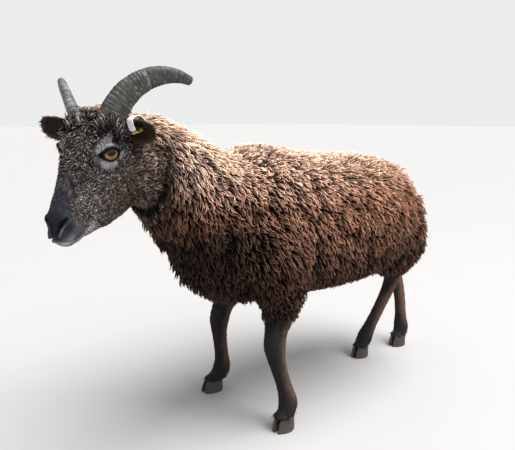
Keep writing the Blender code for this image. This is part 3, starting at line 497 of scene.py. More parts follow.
def with_face(mesh):
    """Moulds the bones, lips, mouth, nostrils and lids of the face into the head's skin."""
    points, normals = points_of(mesh)
    places = head_places(points)
    rise = np.zeros(len(points))
    for centre, reach, height in FACE_FORMS:
        for sign in SIGNS.values():
            away = (places - np.array(centre) * (sign, 1, 1)) / reach
            rise += height * np.exp(-(away**2).sum(1))
    wooled = 1 - smooth_step(places[:, 2], 0.085, 0.150)
    rise -= 0.0032 * wooled * smooth_step(places[:, 1], -0.06, 0.03)
    rise -= 0.0010 * (1 - wooled) * smooth_step(-places[:, 2], -0.19, -0.17)
    points = points + normals * rise[:, None]
    move_points(mesh, points)
    mouth, nostrils, radii = face_lines(mesh)
    points, normals = points_of(mesh)
    gap = nearest_on(mouth, points)[0]
    lips = LIP_HEIGHT * np.exp(-(((gap - 0.0036) / 0.0022) ** 2))
    rise = lips - MOUTH_DEPTH * np.exp(-((gap / MOUTH_HALF_WIDTH) ** 2))
    for line in nostrils:
        gap, radius = nearest_on(line, points, radii)
        rise -= NOSTRIL_DEPTH * (1 - smooth_step(gap, radius * 0.55, radius * 1.15))
        rise += NOSTRIL_RIM * np.exp(-(((gap - radius * 1.45) / 0.0014) ** 2))
    points = points + normals * rise[:, None]
    places = head_places(points)
    groove = np.exp(-((places[:, 0] / 0.0011) ** 2)) * smooth_step(places[:, 2], 0.190, 0.200)
    groove *= (places[:, 1] > -0.012) & (places[:, 1] < 0.012)
    points = points - normals * 0.0012 * groove[:, None]
    move_points(mesh, with_lids(points))
    return mouth, nostrils


body_shapes = [tube_mesh("torso_shape", torso_rings()), tube_mesh("neck_shape", neck_rings())]
body_shapes.append(tube_mesh("tail_shape", tail_rings()))
for side in SIGNS:
    body_shapes.append(tube_mesh("foreleg", leg_rings(FORELEG_JOINTS[side], FORELEG_SIZES, FORELEG_COAT)))
    body_shapes.append(tube_mesh("hindleg", leg_rings(HINDLEG_JOINTS[side], HINDLEG_SIZES, HINDLEG_COAT)))
body_skin = fused("body_skin", body_shapes, BODY_VOXEL, 6)


def eased(mesh):
    """The skin's points with the folds over the tops of the forelegs smoothed away."""
    points, _ = points_of(mesh)
    ends = np.empty(len(mesh.edges) * 2, np.int32)
    mesh.edges.foreach_get("vertices", ends)
    first, second = ends.reshape(-1, 2).T
    size = len(points)
    count = np.bincount(first, minlength=size) + np.bincount(second, minlength=size)
    away = (np.abs(points) * (1, 0, 0) + points * (0, 1, 1) - SHOULDER_AT) / SHOULDER_REACH
    mask = np.exp(-(away**2).sum(1))[:, None]
    for _ in range(SHOULDER_ROUNDS):
        total = [
            np.bincount(first, row[second], size) + np.bincount(second, row[first], size) for row in points.T
        ]
        points = points + (np.stack(total, 1) / count[:, None] - points) * mask
    return points


body_points = eased(body_skin)
body_points[:, 2] = np.maximum(body_points[:, 2], CORONET_HEIGHT)
move_points(body_skin, body_points)
head_shapes = [tube_mesh("skull", head_rings()), tube_mesh("nape", neck_rings()[:16])]
head_skin = fused("head_skin", head_shapes, HEAD_VOXEL, 5)
mouth_line, nostril_lines = with_face(head_skin)

# The hide's markings: wool is a reddish brown that pales at its tips, the face is grizzled black with a
# pale ring round each eye and a pale chin, and the legs are black-brown. Skin and tufts share them.
# The wool also carries painted light, paler high on the back where light from above falls, and painted
# shade, darker on the chest, the throat and the underside.
WOOL = (0.345, 0.165, 0.100)
WOOL_PAINTED_SHADE = (0.029, 0.016, 0.011)
WOOL_TOP_PAINTED_LIGHT = (0.860, 0.590, 0.455)
FACE_DARK = (0.020, 0.018, 0.022)
FACE_GREY = (0.052, 0.046, 0.045)
FOREHEAD = (0.036, 0.033, 0.033)
CHEEK = (0.046, 0.032, 0.027)
JAW = (0.092, 0.062, 0.049)
MUZZLE_BLACK = (0.010, 0.011, 0.017)
LIP_GREY = (0.048, 0.044, 0.048)
NOSTRIL_RIM_HIGHLIGHT = (0.130, 0.140, 0.165)
PALE = (0.400, 0.385, 0.405)
LEG = (0.012, 0.010, 0.011)
LEG_WARM = (0.085, 0.048, 0.033)
LEG_HALF_DEPTH = 0.016
FACE_EDGE_SLOPE = 0.25
DARKEST = 0.002
# Pale patches about each eye: before its front corner, below that, and streaking down the cheek.
EYE_PATCHES = (
    ((0.0365, 0.0390, 0.0870), (0.006, 0.0055, 0.0060), 0.70),
    ((0.0400, 0.0255, 0.0965), (0.006, 0.0040, 0.0070), 0.75),
    ((0.0380, 0.0130, 0.1050), (0.008, 0.0060, 0.0110), 0.60),
)


def tinted(colours, colour, mask):
    return colours + (np.array(colour) - colours) * np.clip(mask, 0, 1)[:, None]


def mottle(points, size, seed=0.0):
    """Smooth random values from -1 to 1 over points, with spots of about that size."""
    scaled = points / size + seed
    return np.array([noise.noise(Vector(p)) for p in scaled])


def swirled(points, size):
    """A smooth random way at each point, which turns over about that size."""
    return np.array([noise.noise_vector(Vector(p)) for p in points / size])


def face_edge(places):
    """How far in front of the skull's slanting middle line each place is. The wool ends along this line."""
    return places[:, 2] - FACE_EDGE_SLOPE * places[:, 1]


def spot(places, centre, reach):
    """A soft spot on both sides of the head, 1 at its centre."""
    mirrored = np.abs(places[:, :1])
    away = (np.hstack([mirrored, places[:, 1:]]) - centre) / reach
    return np.exp(-(away**2).sum(1))


def leg_rear(points):
    """How far behind the middle line of the nearest leg each point is, from about -1 at its front to 1."""
    rear, nearest = np.zeros(len(points)), np.full(len(points), 9.0)
    for joints in (*FORELEG_JOINTS.values(), *HINDLEG_JOINTS.values()):
        x, y, z = np.array(joints)[::-1].T
        x, y = np.interp(points[:, 2], z, x), np.interp(points[:, 2], z, y)
        gap = np.hypot(points[:, 0] - x, points[:, 1] - y)
        rear = np.where(gap < nearest, (points[:, 1] - y) / LEG_HALF_DEPTH, rear)
        nearest = np.minimum(nearest, gap)
    return rear


def markings(points):
    """The hide's colour at points of the body's frame, with painted light on the back and painted shade low
    down.
    """
    colours = np.tile(np.array(WOOL), (len(points), 1))
    height = points[:, 2]
    # Painted light: the wool is paler high on the back, where light from above falls.
    back = smooth_step(height + 0.10 * np.minimum(points[:, 1], 0), 0.42, 0.515)
    colours = tinted(colours, WOOL_TOP_PAINTED_LIGHT, back)
    # Painted shade: the wool darkens on the chest front, on the throat under the jaw, and low on the body.
    front = smooth_step(-points[:, 1], -0.05, 0.12)
    colours = tinted(colours, WOOL_PAINTED_SHADE, front * smooth_step(-height, -0.50, -0.38))
    throat = smooth_step(-points[:, 1], 0.16, 0.24) * smooth_step(-height, -0.535, -0.445)
    colours = tinted(colours, WOOL_PAINTED_SHADE, 0.85 * throat)
    colours = tinted(colours, WOOL_PAINTED_SHADE, 0.88 * smooth_step(-height, -0.44, -0.29))
    patches = mottle(points, 0.045) + 0.6 * mottle(points, 0.018, 5.0)
    colours = colours * (1 + 0.22 * patches)[:, None]
    leg = smooth_step(-height, -0.262, -0.225)
    warm = smooth_step(leg_rear(points) + 0.25 * mottle(points, 0.02, 3.0), -0.75, 0.55)
    warm *= smooth_step(height, 0.035, 0.085)
    leg_colour = np.array(LEG) + (np.array(LEG_WARM) - LEG) * warm[:, None]
    colours = colours + (leg_colour - colours) * leg[:, None]
    places = head_places(points)
    below = smooth_step(-places[:, 1], 0.015, 0.060)
    on_face = smooth_step(face_edge(places) + 0.026 * below, -0.020, 0.018)
    on_face *= smooth_step(-points[:, 1], 0.20, 0.235)
    return colours + (face_colours(points, places) - colours) * on_face[:, None]


def face_colours(points, places):
    """The face's colour: dark over nose and muzzle, grizzled on the cheeks, pale round eyes and chin."""
    side, crown, ahead = np.abs(places[:, 0]), places[:, 1], places[:, 2]
    face = np.tile(np.array(FACE_GREY), (len(points), 1))
    top = smooth_step(crown, -0.010, 0.030)
    face = tinted(face, FOREHEAD, top * (1 - smooth_step(ahead, 0.05, 0.12)))
    face = tinted(face, CHEEK, smooth_step(-crown, 0.000, 0.045) * (1 - smooth_step(ahead, 0.10, 0.16)))
    face = tinted(face, CHEEK, smooth_step(-ahead, -0.055, -0.010) * (1 - top))
    face = tinted(face, JAW, 0.85 * smooth_step(-crown, 0.000, 0.040) * (1 - smooth_step(ahead, 0.03, 0.10)))
    bridge = smooth_step(crown - 0.6 * side, -0.004, 0.014) * smooth_step(ahead, 0.09, 0.15)
    face = tinted(face, FACE_DARK, 0.85 * bridge)
    face = tinted(face, FACE_DARK, 0.6 * spot(places, (0.044, 0.030, 0.030), (0.020, 0.020, 0.026)))
    speckle = smooth_step(mottle(points, 0.0045, 9.0), -0.35, 0.45) - 0.5
    face = face * (1 + 0.40 * mottle(points, 0.014, 7.0) + 1.3 * speckle)[:, None]
    for centre, spread_of, strength in EYE_PATCHES:
        face = tinted(face, PALE, strength * spot(places, centre, spread_of))
    for sign in SIGNS.values():
        away, reach, apart, near = beside_lids(points, sign)
        above = smooth_step(unit(away) @ eye_frame(sign)[3], 0.10, 0.45)
        ring = np.exp(-(((apart - 0.0042) / 0.0024) ** 2))
        ring *= 1 - smooth_step(reach, 1.3 * EYE_RADIUS, 1.9 * EYE_RADIUS)
        face = tinted(face, PALE, 0.95 * ring * near * (1 - 0.50 * above))
    duct = spot(places, (0.0290, 0.0280, 0.0910), (0.006, 0.0040, 0.0055))
    duct += spot(places, (0.0290, 0.0240, 0.1020), (0.006, 0.0035, 0.0060))
    face = tinted(face, FACE_DARK, 0.95 * duct)
    face = tinted(face, PALE, 0.6 * spot(places, (0.0405, 0.0080, 0.0580), (0.006, 0.007, 0.005)))
    face = tinted(face, LIP_GREY, 0.9 * smooth_step(ahead, 0.160, 0.180) * smooth_step(-crown, -0.006, 0.010))
    nose = smooth_step(ahead + 0.9 * crown, 0.176, 0.192) * smooth_step(crown, -0.014, -0.004)
    face = tinted(face, MUZZLE_BLACK, 0.95 * nose)
    chin = smooth_step(-crown, 0.026, 0.036) * smooth_step(ahead, 0.140, 0.165)
    face = tinted(face, PALE, 0.75 * chin * (0.65 + 0.35 * mottle(points, 0.004, 2.0)))
    lip = spot(places, (0.010, -0.020, 0.207), (0.012, 0.006, 0.009))
    return tinted(face, PALE, 0.9 * lip)


def painted(mesh, colours):
    """Stores a colour at each of the mesh's points, for its finish."""
    layer = mesh.color_attributes.new("coat_colour", "FLOAT_COLOR", "POINT")
    values = np.ones((len(colours), 4), np.float32)
    values[:, :3] = np.clip(colours, DARKEST, 1)
    layer.data.foreach_set("color", values.ravel())


class Wire:
    """A socket in a finish. Sums and products of wires add their Math nodes."""

    def __init__(self, tree, socket):
        self.tree, self.socket = tree, socket

    def make(self, kind, settings, inputs, out=0):
        """A new node with these settings, and the values or wires of its sockets."""
        node = self.tree.nodes.new(kind)
        for key, value in settings.items():
            if key != "stops":
                setattr(node, key, value)
                continue
            for place, colour in value[2:]:
                node.color_ramp.elements.new(place)
            for element, (place, colour) in zip(node.color_ramp.elements, value):
                element.position, element.color = place, (*colour, 1)
        for key, value in inputs.items():
            if isinstance(value, Wire):
                self.tree.links.new(value.socket, node.inputs[key])
            else:
                node.inputs[key].default_value = value
        return Wire(self.tree, node.outputs[out])

    def maths(self, operation, first, second=0.0):
        return self.make("ShaderNodeMath", {"operation": operation}, {0: first, 1: second})

    def __add__(self, other):
        return self.maths("ADD", self, other)

    def __sub__(self, other):
        return self.maths("SUBTRACT", self, other)

    def __mul__(self, other):
        return self.maths("MULTIPLY", self, other)

    def __truediv__(self, other):
        return self.maths("DIVIDE", self, other)

    def ramped(self, low, high, first=0.0, last=1.0):
        """This wire's values from low to high, drawn out to run from first to last."""
        return self.make("ShaderNodeMapRange", {}, {0: self, 1: low, 2: high, 3: first, 4: last})


def mixed(mask, first, second, blend="MIX"):
    """Two colours mixed by a mask. Either may be a wire or a plain colour."""
    wire = next(w for w in (mask, first, second) if isinstance(w, Wire))
    plain = [c if isinstance(c, Wire) else (*c, 1) for c in (first, second)]
    settings = {"data_type": "RGBA", "blend_type": blend}
    return wire.make("ShaderNodeMix", settings, {0: mask, 6: plain[0], 7: plain[1]}, out=2)


def new_finish(name, **fixed):
    """A material with fixed values on its shader, and a wire of the model's own coordinates."""
    material = bpy.data.materials.new(name)
    material.use_nodes = True
    shader = material.node_tree.nodes["Principled BSDF"]
    for key, value in fixed.items():
        shader.inputs[key.replace("_", " ").title().replace("Ior", "IOR")].default_value = value
    coords = material.node_tree.nodes.new("ShaderNodeTexCoord")
    return material, Wire(material.node_tree, coords.outputs["Object"])


def feed(material, **wires):
    """Joins wires to the sockets of the material's shader."""
    shader = material.node_tree.nodes["Principled BSDF"]
    for key, wire in wires.items():
        material.node_tree.links.new(wire.socket, shader.inputs[key.replace("_", " ").title()])


def grain(place, scale, detail=2.0, stretch=(1, 1, 1), rough=0.5):
    """Noise over the model, finer with a higher scale, drawn out along an axis by stretch."""
    drawn = place.make("ShaderNodeMapping", {}, {"Vector": place, "Scale": stretch})
    values = {"Vector": drawn, "Scale": scale, "Detail": detail, "Roughness": rough}
    return place.make("ShaderNodeTexNoise", {}, values)


def bumped(height, strength, distance):
    return height.make("ShaderNodeBump", {}, {"Height": height, "Strength": strength, "Distance": distance})


def stored(place, name, out=2):
    """What is kept at the mesh's points under a name: out 2 is a number, and out 0 a colour."""
    return place.make("ShaderNodeAttribute", {"attribute_name": name}, {}, out=out)


def shaded_coat(material, place, tone):
    """Feeds the coat's stored colour, with its painted shade and light, made darker or lighter by a tone."""
    grey = place.make("ShaderNodeCombineColor", {}, {0: tone, 1: tone, 2: tone})
    feed(material, base_color=mixed(1.0, stored(place, "coat_colour", 0), grey, "MULTIPLY"))


def hide_finish():
    """Short flat hair over skin: the markings, broken up by fine streaks that also raise it."""
    material, place = new_finish("short_hair", roughness=0.85, specular_ior_level=0.2)
    streaks = grain(place, 420, 3.0, (1.0, 0.8, 0.45))
    fine = grain(place, 900, 2.0)
    shaded_coat(material, place, streaks * 1.1 + fine * 0.5 + 0.25)
    feed(material, normal=bumped(streaks + fine * 0.5, 0.55, 0.0012))
    return material


HIDE = hide_finish()
skin = piece("skin", joined("skin", [body_skin, head_skin]), HIDE)
skin.data.shade_smooth()
skin_points, skin_normals = points_of(skin.data)
skin_places = head_places(skin_points)
skin_colours = markings(skin_points)
# Painted shade: the skin under the wool is darkened, as the wool shades it.
painted_wool_shade = smooth_step(skin_points[:, 2], 0.225, 0.255)
painted_wool_shade *= 1 - smooth_step(-skin_points[:, 1], 0.225, 0.260)
skin_colours *= (1 - 0.85 * painted_wool_shade)[:, None]
# Painted shade: the skin darkens along the mouth's crease.
mouth_crease_gap = nearest_on(mouth_line, skin_points)[0]
skin_colours *= (1 - 0.95 * np.exp(-((mouth_crease_gap / 0.0019) ** 2)))[:, None]
# Painted shade darkens each nostril's opening, and a painted highlight, a wet glint, lightens the rim below
# it.
for line in nostril_lines:
    gap = nearest_on(line, skin_points)[0]
    skin_colours *= (1 - 0.95 * np.exp(-((gap / 0.0030) ** 2)))[:, None]
    under = np.exp(-(((gap - 0.0050) / 0.0013) ** 2)) * smooth_step(np.abs(skin_places[:, 0]), 0.004, 0.008)
    under *= 1 - smooth_step(skin_places[:, 1], 0.003, 0.010)
    skin_colours = tinted(skin_colours, NOSTRIL_RIM_HIGHLIGHT, 0.55 * under)
painted(skin.data, skin_colours)
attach(skin, "root")
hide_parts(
    "head", "neck", "torso", "tail", "foreleg_left", "foreleg_right", "hindleg_left", "hindleg_right"
)

# The fleece: crimped locks of wool, grown in staples that lean together, hanging down and back on the
# sides and standing up a little along the spine. Each lock is a closed tapered strand rooted in the skin.
LOCK_SEED = 11
WOOL_SAMPLES = 160000
LOCK_SPACING = 0.0036
LOCK_LENGTH = 0.021
LOCK_WIDTH = 0.0042
LOCK_THICKNESS = 0.0032
LOCK_SINK = 0.002
# Round each lock, and along it: its share of the width, its painted shading, dark as shade at the root and
# light as a painted highlight at the tip, and the share of the pale tip's colour.
LOCK_SIDES = 3
LOCK_TAPER = np.array([0.55, 0.90, 1.0, 0.98, 0.82, 0.56, 0.12])
LOCK_PAINTED_SHADING = np.array([0.015, 0.03, 0.07, 0.21, 0.60, 1.25, 1.90])
LOCK_PALING = np.array([0, 0, 0, 0.02, 0.10, 0.28, 0.50])
STAPLE_SPACING = 0.0095
STAPLE_PULL = 0.45
BUNCH_SPACING = 0.034
BUNCH_PULL = 0.10
CRIMP_LENGTH = 0.0105
CRIMP_WIDTH = 0.0018
COAT_LOWEST = 0.226
FLEECE_PIECES = 7
BAKE_PATCH = 0.003
WOOL_TIP = (0.560, 0.340, 0.240)


def skin_samples(points, normals, faces, count):
    """Random places spread evenly over triangles, with the skin's smooth normal at each."""
    corners = points[faces]
    cross = np.cross(corners[:, 1] - corners[:, 0], corners[:, 2] - corners[:, 0])
    area = np.linalg.norm(cross, axis=1)
    picked = faces[rng.choice(len(faces), count, p=area / area.sum())]
    a, b = rng.random((2, count, 1))
    a, b = np.where(a + b > 1, 1 - a, a), np.where(a + b > 1, 1 - b, b)
    share = np.stack([1 - a - b, a, b], 1)
    return (points[picked] * share).sum(1), unit((normals[picked] * share).sum(1))


def thinned(points, spacing):
    """Which points stay when none may be nearer than that spacing to one before it."""
    spacing = np.broadcast_to(spacing, len(points))
    cells, kept = {}, []
    size = float(spacing.max())
    keys = np.floor(points / size).astype(int)
    steps = [(dx, dy, dz) for dx in (-1, 0, 1) for dy in (-1, 0, 1) for dz in (-1, 0, 1)]
    for i, (x, y, z) in enumerate(keys.tolist()):
        near = [j for dx, dy, dz in steps for j in cells.get((x + dx, y + dy, z + dz), ())]
        if near:
            gaps = points[near] - points[i]
            if (gaps * gaps).sum(1).min() < spacing[i] ** 2:
                continue
        cells.setdefault((x, y, z), []).append(i)
        kept.append(i)
    return np.array(kept)


def seeded(points, normals, faces, count, spacing):
    """Roots of hair over triangles, none nearer than the spacing to another, and the way out at each."""
    roots, ups = skin_samples(points, normals, faces, count)
    kept = thinned(roots, spacing)
    return roots[kept], ups[kept]


def triangles_of(mesh):
    mesh.calc_loop_triangles()
    faces = np.empty(len(mesh.loop_triangles) * 3, np.int32)
    mesh.loop_triangles.foreach_get("vertices", faces)
    return faces.reshape(-1, 3)


def wool_lie(points, normals):
    """The way that the wool lies: down and back, away from the spine, and off the chest."""
    way = np.zeros_like(normals)
    off_spine = points[:, 0] + 0.022 * mottle(points, 0.07, 4.0)
    way[:, 0] = 0.5 * np.tanh(off_spine / 0.035) * smooth_step(normals[:, 2], 0.3, 1.0)
    way[:, 1] = 0.45 + 0.35 * smooth_step(normals[:, 2], 0.75, 1.0)
    way[:, 2] = -1.0
    way += 0.45 * swirled(points, 0.05)
    return unit(square_to(way, normals))


def coat_rise(points, normals):
    """How far the tips of the wool stand out from the skin."""
    under = smooth_step(-normals[:, 2], 0.35, 0.9) * smooth_step(points[:, 1], -0.10, 0.02)
    places = head_places(points)
    near_head = smooth_step(face_edge(places), -0.035, 0.016) * smooth_step(-points[:, 1], 0.19, 0.23)
    near_head *= 0.42 + 0.58 * smooth_step(places[:, 1], -0.075, -0.045)
    beneath = smooth_step(-normals[:, 2], 0.3, 0.8)
    low = smooth_step(points[:, 2], COAT_LOWEST - 0.02, COAT_LOWEST + 0.09 - 0.04 * beneath)
    whole = COAT_DEPTH * (1 - (1 - BELLY_SHARE) * under) * (1 - 0.68 * near_head) * (0.15 + 0.85 * low)
    return whole * (1 - SKIN_SHARE)


def strands(name, centres, across, widths, thicknesses, colours, unwrap):
    """Closed tapered strands along rows of centres, with a colour at each ring, and the map for the bake."""
    count, rings, sides = *centres.shape[:2], LOCK_SIDES
    along = unit(np.gradient(centres, axis=1))
    across = unit(square_to(across, along))
    over = np.cross(along, across)
    cos, sin = (side[:, None] for side in circle(sides))
    points = (
        centres[:, :, None]
        + across[:, :, None] * cos * widths[:, :, None, None] / 2
        + over[:, :, None] * sin * thicknesses[:, :, None, None] / 2
    )
    first = np.arange(count)[:, None, None] * rings * sides
    ring = np.arange(rings - 1)[None, :, None] * sides
    i = np.arange(sides)[None, None, :]
    near, next_one = first + ring + i, first + ring + (i + 1) % sides
    quads = np.stack([near, next_one, next_one + sides, near + sides], -1)
    tips = first[:, :, 0] + (rings - 1) * sides + np.arange(sides)[None, :]
    roots = first[:, :, 0] + np.arange(sides)[::-1][None, :]
    corners = np.concatenate([quads.reshape(-1), tips.reshape(-1), roots.reshape(-1)])
    sizes = np.concatenate([np.full(quads.size // 4, 4), np.full(count * 2, sides)])
    mesh = bpy.data.meshes.new(name)
    mesh.vertices.add(points.size // 3)
    mesh.vertices.foreach_set("co", (points.reshape(-1, 3) + HOME).ravel())
    mesh.loops.add(len(corners))
    mesh.loops.foreach_set("vertex_index", corners.astype(np.int32))
    mesh.polygons.add(len(sizes))
    starts = np.concatenate([[0], np.cumsum(sizes)[:-1]])
    mesh.polygons.foreach_set("loop_start", starts.astype(np.int32))
    mesh.update(calc_edges=True)
    mesh.shade_smooth()
    painted(mesh, np.repeat(colours[:, :, None], sides, axis=2).reshape(-1, 3))
    patch = np.empty((count, rings, sides, 2))
    patch[..., 0] = unwrap[:, None, None, 0] + BAKE_PATCH * (np.arange(sides) / (sides - 1) - 0.5)
    patch[..., 1] = unwrap[:, None, None, 1] + BAKE_PATCH * (np.arange(rings) / (rings - 1) - 0.5)[:, None]
    layer = mesh.uv_layers.new(name="OFBake")
    layer.data.foreach_set("uv", patch.reshape(-1, 2)[corners].astype(np.float32).ravel())
    made = piece(name, mesh, WOOL_FINISH)
    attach(made, "root")
    return made


def spread(values, low=0.02, high=0.98):
    """Values scaled to fill a span of the bake's map."""
    span = max(float(np.ptp(values)), 1e-6)
    return low + (values - values.min()) / span * (high - low)


def wool_finish():
    """Wool: its colour along each lock, with painted shade and light, soft gloss, and fine crimp that catches
    the light.
    """
    material, place = new_finish("wool", roughness=0.9, specular_ior_level=0.15)
    fibres = grain(place, 700, 3.0, (1.0, 1.0, 0.35))
    crimp = grain(place, 330, 2.0)
    shaded_coat(material, place, fibres * 0.9 + crimp * 0.5 + 0.32)
    feed(material, normal=bumped(fibres + crimp, 0.6, 0.0012))
    return material


rng = np.random.default_rng(LOCK_SEED)
noise.seed_set(LOCK_SEED)
skin_faces = triangles_of(skin.data)
face_centre = skin_points[skin_faces].mean(1)
face_places = head_places(face_centre)
face_front = face_edge(face_places)
behind_head = (face_front < 0.010) | (face_centre[:, 1] > -0.235)
wooled = (face_centre[:, 2] > COAT_LOWEST) & behind_head & (face_centre[:, 1] > -0.36)
roots, ups = skin_samples(skin_points, skin_normals, skin_faces[wooled], WOOL_SAMPLES)
inner_thigh = (np.abs(roots[:, 0]) < 0.045) & (roots[:, 2] < 0.255) & (roots[:, 1] > 0.3)
roots, ups = roots[~inner_thigh], ups[~inner_thigh]
kept = thinned(roots, LOCK_SPACING)
roots, ups = roots[kept], ups[kept]
staples, bunches = roots[thinned(roots, STAPLE_SPACING)], roots[thinned(roots, BUNCH_SPACING)]


def nearest_of(points, others):
    """The nearest of the other points to each point, and how far away it is."""
    tree = KDTree(len(others))
    for i, place in enumerate(others):
        tree.insert(place, i)
    tree.balance()
    found = [tree.find(place) for place in points]
    return np.array([hit[1] for hit in found]), np.array([hit[2] for hit in found])


nearest, _ = nearest_of(roots, staples)
bunch, from_bunch = nearest_of(roots, bunches)
lie = wool_lie(roots, ups)
parting = smooth_step(from_bunch, 0.5 * BUNCH_SPACING, 0.75 * BUNCH_SPACING)
rise = coat_rise(roots, ups) * rng.uniform(0.70, 1.0, len(roots)) * (1 - 0.30 * parting)
count = len(roots)
t = np.linspace(0, 1, len(LOCK_TAPER))[None, :, None]
length = LOCK_LENGTH * rng.uniform(0.75, 1.15, count) * (0.45 + 0.55 * rise / (COAT_DEPTH * (1 - SKIN_SHARE)))
upright = smooth_step(ups[:, 2], 0.35, 0.95) * smooth_step(roots[:, 1], -0.2, 0.0)
upright *= smooth_step(roots[:, 2], 0.42, 0.48)
reach = length * (1 - 0.45 * upright)
beside = np.cross(ups, lie)
gather = (staples[nearest] - roots) * STAPLE_PULL + (bunches[bunch] - roots) * BUNCH_PULL
gather = square_to(gather, ups)
curve = 1 - (1 - t) ** 2.2
centres = (
    roots[:, None]
    - ups[:, None] * LOCK_SINK
    + ups[:, None] * (rise[:, None, None] + LOCK_SINK) * curve
    + lie[:, None] * reach[:, None, None] * t**1.35
    + gather[:, None] * t**0.8
)
phase = rng.uniform(0, 2 * math.pi, (count, 1, 1)) * 0.35
phase += 2.4 * mottle(staples, 0.02)[nearest][:, None, None]
waves = 2 * math.pi * t * length[:, None, None] / CRIMP_LENGTH + phase
swing = CRIMP_WIDTH * rng.uniform(0.6, 1.3, (count, 1, 1)) * (0.25 + 0.75 * t)
centres += beside[:, None] * swing * np.sin(waves) + ups[:, None] * swing * 0.6 * np.cos(waves) * t
centres[:, -1] += beside * rng.normal(0, 0.0018, (count, 1)) + ups * rng.normal(0.0004, 0.0012, (count, 1))
girth = rng.uniform(0.75, 1.2, (count, 1)) * LOCK_TAPER
lock_colour = markings(roots)
# A random brightness for each lock, with painted shade on the locks in the partings between bunches.
sunny = rng.uniform(0.65, 1.35, (count, 1)) * (1 - 0.4 * parting)[:, None]
# Painted light: locks that face up have their dark roots lightened, as light from above reaches them.
lit_from_above = smooth_step(ups[:, 2], 0.25, 0.85)[:, None]
lit = LOCK_PAINTED_SHADING + lit_from_above * 0.45 * np.maximum(0.85 - LOCK_PAINTED_SHADING, 0)
colours = lock_colour[:, None] * (lit * sunny)[..., None]
pale_tip = LOCK_PALING[:, None] * rng.uniform(0.1, 1.0, (count, 1, 1))
pale_tip = pale_tip * np.clip(lock_colour[:, :1] / WOOL[0], 0.1, 1)[:, None]
colours = colours + (np.array(WOOL_TIP) - colours) * pale_tip
twist = rng.uniform(-0.5, 0.5, (count, 1, 1)) + t * rng.uniform(-0.8, 0.8, (count, 1, 1))
across = beside[:, None] * np.cos(twist) + ups[:, None] * np.sin(twist)
angle = np.arctan2(roots[:, 0], roots[:, 2] - 0.37)
unwrapped = np.stack([spread(angle), spread(roots[:, 1])], 1)
order = np.argsort(roots[:, 1])
WOOL_FINISH = wool_finish()
locks = centres, across, girth * LOCK_WIDTH, girth * LOCK_THICKNESS, colours, unwrapped
for number, group in enumerate(np.array_split(order, FLEECE_PIECES), 1):
    made = strands(f"fleece_{number}", *(values[group] for values in locks))

# The hair of the face and legs. The forehead and poll carry short crimped tufts with pale tips, which
# run out over the cheeks. On the muzzle and legs the hair is short and flat, and only its ends stand off.
FACE_SAMPLES, LEG_SAMPLES = 70000, 40000
TUFT_SPACING, LEG_TUFT_SPACING = 0.0022, 0.0042
TUFT_SINK = 0.0008
# Along each tuft: its share of the width, its painted shading, dark as shade at the root and light as a
# painted highlight at the tip, and the share of the pale tip's colour.
TUFT_TAPER = np.array([0.7, 1.0, 0.95, 0.7, 0.16])
TUFT_PAINTED_SHADING = np.array([0.30, 0.45, 0.75, 1.20, 1.60])
TUFT_PALING = (0, 0, 0.25, 0.75, 1.0)
TUFT_FLATNESS = 0.6
HAIR_TIP = (0.560, 0.480, 0.400)


def short_tufts(name, roots, ups, lie, sizes, rises, widths, colours, unwrapped, slot, curl, tips=0.0):
    """Small curled tufts of hair, rooted in the skin, with tips that pale by that share."""
    count = len(roots)
    t = np.linspace(0, 1, len(TUFT_TAPER))[None, :, None]
    beside = np.cross(ups, lie)
    bend = rng.normal(0, curl, (count, 1, 1))
    centres = (
        roots[:, None]
        - ups[:, None] * TUFT_SINK
        + ups[:, None] * (rises[:, None, None] + TUFT_SINK) * (1 - (1 - t) ** 2)
        + lie[:, None] * (sizes[:, None, None] * t**1.2)
        + beside[:, None] * sizes[:, None, None] * bend * t**2
    )
    wave = rng.uniform(0, 2 * math.pi, (count, 1, 1))
    centres += beside[:, None] * np.sin(wave + t * 5.5) * (sizes * curl * 0.35)[:, None, None] * t
    girth = widths[:, None] * TUFT_TAPER
    # Painted shading: each tuft is dark as shade at its root and light as a painted highlight at its tip.
    shades = colours[:, None] * (TUFT_PAINTED_SHADING * rng.uniform(0.35, 1.65, (count, 1)))[..., None]
    paling = np.outer(tips * rng.random(count) ** 1.6, TUFT_PALING)[..., None]
    shades = shades + (np.array(HAIR_TIP) - shades) * paling
    across = np.repeat(beside[:, None], len(TUFT_TAPER), 1)
    made = strands(name, centres, across, girth, girth * TUFT_FLATNESS, shades, unwrapped)


on_face = (face_front > -0.030) & (face_places[:, 2] < 0.190) & (face_centre[:, 1] < -0.225)
roots, ups = skin_samples(skin_points, skin_normals, skin_faces[on_face], FACE_SAMPLES)
places = head_places(roots)
clear, by_eye = np.ones(len(roots), bool), np.zeros(len(roots))
for sign in SIGNS.values():
    apart, near = beside_lids(roots, sign)[2:]
    clear &= ~(near & (apart < 0.0022))
    by_eye = np.maximum(by_eye, near * (1 - smooth_step(apart, 0.0066, 0.0108)))
clear &= nearest_on(mouth_line, roots)[0] > 0.0030
for line in nostril_lines:
    clear &= nearest_on(line, roots)[0] > 0.0055
curly = smooth_step(places[:, 1], -0.010, 0.026) * (1 - smooth_step(places[:, 2], 0.100, 0.165))
poll = smooth_step(places[:, 1], 0.018, 0.042) * smooth_step(-places[:, 2], -0.052, -0.018)
from_horn = np.where(places[:, 0] > 0, (places[:, 0] - 0.031) / 0.016, (places[:, 0] + 0.023) / 0.013)
by_horn = np.exp(-(from_horn**2 + ((places[:, 2] - 0.043) / 0.019) ** 2))
by_horn *= smooth_step(places[:, 1], 0.020, 0.038)
poll = np.maximum(poll, by_horn)
nose_top = smooth_step(places[:, 1] - 0.6 * np.abs(places[:, 0]), -0.004, 0.014)
nose_top *= smooth_step(places[:, 2], 0.10, 0.14)
bushy = 1 - smooth_step(places[:, 2], 0.165, 0.188)
